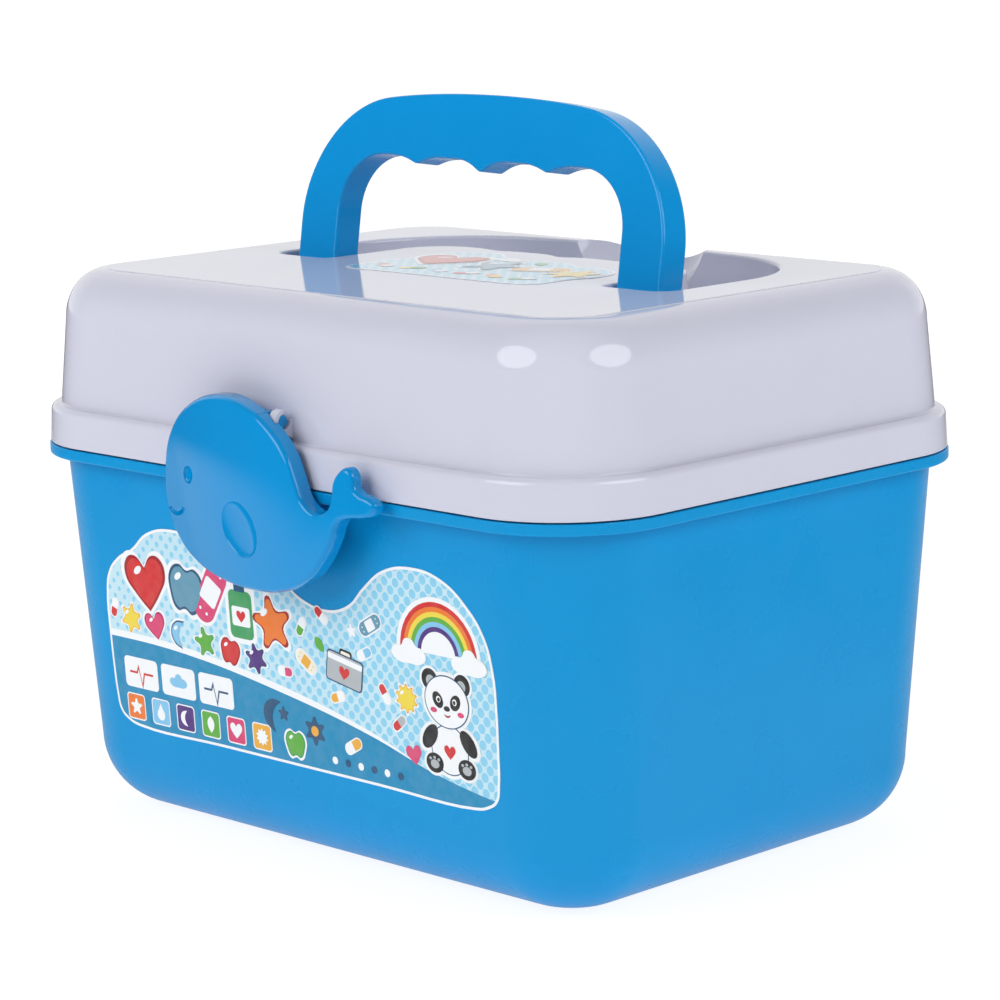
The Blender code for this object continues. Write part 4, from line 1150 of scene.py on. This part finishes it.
def buildTopPrint():
    s = labelShape
    points = [(s["topLeft"] + u * s["topWidth"], s["topFront"] + v * s["topDepth"]) for u, v in s["topShares"]]
    sheet = startSheet("topLabelSheet", points)
    bigMotif("heart", (-0.021, 0.004), 0.0115, "red", "deepRed", sheet, 8)
    bigMotif("star", (0.001, 0.002), 0.0095, "blueGrey", "navy", sheet, -10)
    plaster((0.018, 0.0035), 0.0088, 0.004, "amber", "white", sheet, 25)
    bigMotif("flower", (0.0325, 0.0015), 0.008, "yellow", "amber", sheet)
    for index, (ink, other) in enumerate((("red", "white"), ("yellow", "leafGreen"), ("sky", "white"),
                                          ("pink", "white"), ("orange", "yellow"), ("leafGreen", "white"))):
        pill((-0.027 + 0.011 * index, -0.0145), 0.004, 0.0017, ink, other, 3, sheet, 30 if index % 2 else -30)
    motif("cloud", (-0.006, 0.0145), 0.006, "white", 3, sheet)
    motif("leaf", (0.009, 0.013), 0.0032, "leafGreen", 3, sheet, 50)
    return sheet


def joinSheet(sheet, name):
    pickUp(*sheet)
    bpy.ops.object.join()
    label = bpy.context.object
    label.name = name
    return label


def buildFrontLabel():
    s = labelShape
    label = joinSheet(buildFrontPrint(), "frontLabelSheet")
    lean = math.atan(tubShape["taper"] / tubShape["rimBottom"])
    wallFoot = case["halfY"] - tubShape["inset"] - tubShape["taper"]
    standUp(label, -wallFoot - s["gap"], lean)
    print("front label built", len(label.data.polygons))
    return label


def buildTopLabel():
    s = labelShape
    label = joinSheet(buildTopPrint(), "topLabelSheet")
    label.location = (0, 0, case["lidTop"] + s["gap"])
    pickUp(label)
    bpy.ops.object.transform_apply()
    print("top label built", len(label.data.polygons))
    return label


# finishes: each colour, gloss and grain is worked out from object coordinates

class Board:
    # small helper that lays out the nodes of a material or a world

    def __init__(self, owner, coordinates="Object"):
        self.owner = owner
        owner.use_nodes = True
        self.tree = owner.node_tree
        self.shader = self.tree.nodes.get("Principled BSDF")
        self.place = self.add("ShaderNodeTexCoord").outputs[coordinates]

    def add(self, kind, **settings):
        node = self.tree.nodes.new(kind)
        for name, value in settings.items():
            setattr(node, name, value)
        return node

    def link(self, source, target):
        # the source is a socket or a plain value
        if isinstance(source, bpy.types.NodeSocket):
            self.tree.links.new(source, target)
        else:
            target.default_value = source

    def noise(self, scale, detail=3.0, rough=0.5):
        node = self.add("ShaderNodeTexNoise")
        for name, value in (("Scale", scale), ("Detail", detail), ("Roughness", rough), ("Vector", self.place)):
            self.link(value, node.inputs[name])
        return node.outputs["Fac"]

    def ramp(self, value, fromLow, fromHigh, toLow, toHigh, **settings):
        node = self.add("ShaderNodeMapRange", **settings)
        for name, source in (("Value", value), ("From Min", fromLow), ("From Max", fromHigh), ("To Min", toLow),
                             ("To Max", toHigh)):
            self.link(source, node.inputs[name])
        return node.outputs["Result"]

    def spread(self, value, low, high):
        # maps the middle of a noise onto low to high
        return self.ramp(value, 0.3, 0.7, low, high)

    def math(self, how, first, second=0.0):
        node = self.add("ShaderNodeMath", operation=how)
        self.link(first, node.inputs[0])
        self.link(second, node.inputs[1])
        return node.outputs[0]

    def vector(self, how, first, second=(0, 0, 0), output="Value"):
        node = self.add("ShaderNodeVectorMath", operation=how)
        self.link(first, node.inputs[0])
        self.link(second, node.inputs[1])
        return node.outputs[output]

    def mix(self, factor, first, second, kind="RGBA"):
        node = self.add("ShaderNodeMix", data_type=kind)
        self.link(factor, node.inputs["Factor"])
        for name, value in (("A", first), ("B", second)):
            self.link((*value, 1) if isinstance(value, tuple) else value, node.inputs[name])
        return node.outputs["Result"]

    def bump(self, height, strength, distance):
        node = self.add("ShaderNodeBump")
        for name, value in (("Strength", strength), ("Distance", distance), ("Height", height)):
            self.link(value, node.inputs[name])
        self.link(node.outputs["Normal"], self.shader.inputs["Normal"])


def mouldedPlastic(name, colour, shade, rough, ripple, shine=0.5, dome=None):
    # injection-moulded plastic: faint colour drift, uneven gloss and a soft skin
    board = Board(bpy.data.materials.new(name))
    cloudy = board.spread(board.noise(26.0, 4.0), 0.0, 1.0)
    paint = board.mix(cloudy, colour, shade)
    board.link(paint, board.shader.inputs["Base Color"])
    board.link(board.spread(board.noise(60.0, 3.0), rough * 0.85, rough * 1.15), board.shader.inputs["Roughness"])
    board.shader.inputs["IOR"].default_value = 1.49
    board.shader.inputs["Specular IOR Level"].default_value = shine
    skin = board.math("ADD", board.noise(140.0, 3.0), board.math("MULTIPLY", board.noise(18.0, 2.0), 2.0))
    height = board.math("MULTIPLY", skin, ripple * 0.0002)
    if dome:
        # very flat dome on the face, centred at a point, of a given radius
        offset = board.vector("SUBTRACT", board.place, dome["centre"], "Vector")
        square = board.vector("DOT_PRODUCT", offset, offset)
        height = board.math("SUBTRACT", height, board.math("DIVIDE", square, 2 * dome["radius"]))
    board.bump(height, 1.0, 1.0)
    return board.owner


def varnish(board):
    # glossy clear coat over the print
    for name, value in (("Roughness", 0.34), ("Specular IOR Level", 0.0), ("Coat Weight", 1.0),
                        ("Coat Roughness", 0.1)):
        board.shader.inputs[name].default_value = value
    board.bump(board.noise(700.0, 2.0), 0.05, 0.00002)


def printedInk(name, colour):
    # offset print: slight drift of the colour
    board = Board(bpy.data.materials.new(name))
    drift = board.spread(board.noise(300.0, 2.0), 0.0, 0.16)
    pale = tuple(value + 0.25 * (0.8 - value) for value in colour)
    board.link(board.mix(drift, colour, pale), board.shader.inputs["Base Color"])
    varnish(board)
    return board.owner


def halftone():
    # staggered dots that shrink towards the label's left, on a pale ground
    board = Board(bpy.data.materials.new("dottedPrint"))
    parts = board.add("ShaderNodeSeparateXYZ")
    board.link(board.place, parts.inputs["Vector"])
    across = parts.outputs["X"]
    # height on the wall and depth on the lid both run up the print
    up = board.math("SUBTRACT", parts.outputs["Z"], board.math("MULTIPLY", parts.outputs["Y"], -0.9))
    pitch = 0.0042
    distances = []
    for shift in (0.0, 0.5):
        u = board.math("FRACT", board.math("ADD", board.math("DIVIDE", across, pitch), 20 + shift))
        v = board.math("FRACT", board.math("ADD", board.math("DIVIDE", up, pitch), 60 + shift))
        off = [board.math("SUBTRACT", share, 0.5) for share in (u, v)]
        squares = [board.math("MULTIPLY", value, value) for value in off]
        distances.append(board.math("SQRT", board.math("ADD", *squares)))
    nearest = board.math("MINIMUM", distances[0], distances[1])
    inside = board.math("LESS_THAN", nearest, board.ramp(across, -0.08, 0.06, 0.16, 0.31))
    ground = board.mix(board.spread(board.noise(40.0), 0.0, 1.0), (0.56, 0.76, 0.84), (0.5, 0.72, 0.82))
    board.link(board.mix(inside, ground, (0.26, 0.6, 0.8)), board.shader.inputs["Base Color"])
    varnish(board)
    return board.owner


bluePlastic = mouldedPlastic("tubBlue", (0.0, 0.277, 0.62), (0.001, 0.292, 0.645), 0.29, 0.1, 0.24)
gripPlastic = mouldedPlastic("handleBlue", (0.0, 0.292, 0.7), (0.001, 0.306, 0.725), 0.16, 0.06, 0.42)
latchPlastic = mouldedPlastic("latchBlue", (0.0, 0.264, 0.625), (0.001, 0.276, 0.645), 0.1, 0.05, 0.48,
                              {"centre": (0.0257, -0.094, 0.1249), "radius": 0.16})
whitePlastic = mouldedPlastic("lidWhite", (0.62, 0.627, 0.735), (0.608, 0.616, 0.725), 0.08, 0.03)
inks = {name: printedInk(name, colour) for name, colour in inkColours.items()}
dottedInk = halftone()
bandInk = printedInk("bandTeal", (0.012, 0.25, 0.47))


def dress(piece, mat, body, node):
    if mat:
        piece.data.materials.clear()
        piece.data.materials.append(mat)
    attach(piece, body)
    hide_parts(node)


dress(buildTub(), bluePlastic, "tub_body", "tub")
dress(buildLid(), whitePlastic, "lid_body", "lid")
dress(buildHandle(), gripPlastic, "handle_body", "handle")
dress(buildLatch(), latchPlastic, "latch_body", "latch")
dress(buildFrontLabel(), None, "tub_body", "front_label")
dress(buildTopLabel(), None, "lid_body", "top_label")
print("pieces dressed")


# camera and studio

camera = {
    "azimuth": 44.93,
    "elevation": 10.62,
    "roll": -1.139,
    "distance": 1.0226,
    "aim": (0.00166, 0.0016, 0.09283),
    "lens": 127.05,
    "sensor": 36,
}


def turned(azimuth, elevation, roll=0.0):
    # how something looks that faces the case's middle from a side
    return (Matrix.Rotation(math.radians(azimuth), 4, "Z") @ Matrix.Rotation(math.radians(90 - elevation), 4, "X")
            @ Matrix.Rotation(math.radians(roll), 4, "Z"))


def makeCamera():
    s = camera
    turn = turned(s["azimuth"], s["elevation"], s["roll"])
    away = turn @ Vector((0, 0, s["distance"]))
    putDown()
    bpy.ops.object.camera_add(location=Vector(s["aim"]) + away, rotation=turn.to_euler())
    cam = bpy.context.object
    cam.data.lens = s["lens"]
    cam.data.sensor_width = s["sensor"]
    cam.data.dof.use_dof = False
    bpy.context.scene.camera = cam
    print("camera placed")


studio = {
    "floorSize": 12.0,
    "ambient": 0.1,
    "room": 0.12,
    "roomEdge": (-0.75, -0.35),
    "paper": (0.85, 0.85, 0.85, 1),
    "sheets": (((0, 0, 0), 0.22, 0.38), ((-0.287, 0.26, 0), 0.455, 0.575)),
    "paperSeen": 0.54,
    "paperEdge": 0.05,
    "paperGlow": 0.88,
    "paperFar": (0.45, 1.3),
    "paperShade": 0.22,
    "paperBounce": 0.52,
    "boxDistance": 1.25,
    "boxes": (
        {"name": "frontBox", "azimuth": -13.0, "elevation": 28.0, "width": 1.04, "height": 0.84, "power": 8.0},
        {"name": "sideBox", "azimuth": 98.0, "elevation": 28.0, "width": 1.04, "height": 0.84, "power": 7.6},
        {"name": "topBox", "azimuth": -32.0, "elevation": 74.0, "width": 1.8, "height": 1.8, "power": 4.8,
         "mirrored": False},
        {"name": "backBox", "azimuth": 213.0, "elevation": 32.0, "width": 1.7, "height": 1.2, "power": 5.0,
         "mirrored": False},
    ),
}


def floorPaper():
    # white paper that keeps a pale shadow and ends a little way from the case in reflections
    s = studio
    board = Board(bpy.data.materials.new("floorPaper"))
    board.tree.nodes.remove(board.shader)
    keep = s["paperEdge"]
    for middle, near, far in s["sheets"]:
        away = board.vector("DISTANCE", board.place, middle)
        fade = board.ramp(away, near, far, s["paperSeen"], s["paperEdge"], interpolation_type="SMOOTHSTEP")
        keep = board.math("MAXIMUM", fade, keep)
    path = board.add("ShaderNodeLightPath").outputs
    # far from the lamps it glows a little more, so that it stays white up to the horizon
    reach = board.vector("LENGTH", board.place)
    white = board.ramp(reach, *s["paperFar"], s["paperGlow"], 1.0, interpolation_type="SMOOTHSTEP")
    loss = board.math("MULTIPLY", board.math("SUBTRACT", 1.0, keep), path["Is Glossy Ray"])
    keep = board.math("SUBTRACT", 1.0, loss)
    choice = board.add("ShaderNodeMixShader")
    seen = board.math("MAXIMUM", path["Is Camera Ray"], path["Is Glossy Ray"])
    board.link(board.math("MAXIMUM", seen, path["Is Transmission Ray"]), choice.inputs["Fac"])
    lit = (s["paper"], s["paperBounce"])
    shown = (board.math("MULTIPLY", keep, s["paperShade"]), board.math("MULTIPLY", keep, white))
    for socket, (shade, glowing) in ((1, lit), (2, shown)):
        paper = board.add("ShaderNodeBsdfDiffuse")
        glow = board.add("ShaderNodeEmission")
        both = board.add("ShaderNodeAddShader")
        for source, target in ((shade, paper.inputs["Color"]), (glowing, glow.inputs["Strength"]),
                               (paper.outputs[0], both.inputs[0]), (glow.outputs[0], both.inputs[1]),
                               (both.outputs[0], choice.inputs[socket])):
            board.link(source, target)
    board.link(choice.outputs[0], board.tree.nodes["Material Output"].inputs["Surface"])
    return board.owner


def makeWorld():
    # white to the eye all round; in reflections a dimmer room on one side
    s = studio
    scene = bpy.context.scene
    scene.world = scene.world or bpy.data.worlds.new("studio")
    board = Board(scene.world, "Generated")
    turn = math.radians(camera["azimuth"])
    facing = board.vector("DOT_PRODUCT", board.place, (math.sin(turn), -math.cos(turn), 0))
    room = board.ramp(facing, *s["roomEdge"], 1.0, s["room"])
    path = board.add("ShaderNodeLightPath").outputs
    level = s["ambient"]
    for ray, seen in (("Is Glossy Ray", room), ("Is Transmission Ray", 1.0), ("Is Camera Ray", 1.0)):
        level = board.mix(path[ray], level, seen, "FLOAT")
    sky = board.tree.nodes["Background"].inputs
    sky["Color"].default_value = (1, 1, 1, 1)
    board.link(level, sky["Strength"])


def makeStudio():
    s = studio
    putDown()
    bpy.ops.mesh.primitive_plane_add(size=s["floorSize"], location=(0, 0, 0))
    floor = bpy.context.object
    floor.name = "floor"
    floor.data.materials.append(floorPaper())
    makeWorld()
    for box in s["boxes"]:
        turn = turned(box["azimuth"], box["elevation"])
        away = Vector((0, 0, cadBounds[1][2] / 2)) + turn @ Vector((0, 0, s["boxDistance"]))
        bpy.ops.object.light_add(type="AREA", location=away, rotation=turn.to_euler())
        lamp = bpy.context.object
        lamp.name = box["name"]
        lamp.data.shape = "ELLIPSE"
        lamp.data.size = box["width"]
        lamp.data.size_y = box["height"]
        lamp.data.energy = box["power"]
        lamp.visible_glossy = box.get("mirrored", True)
    bpy.context.scene.view_settings.view_transform = "Standard"
    print("studio lit")


makeCamera()
makeStudio()
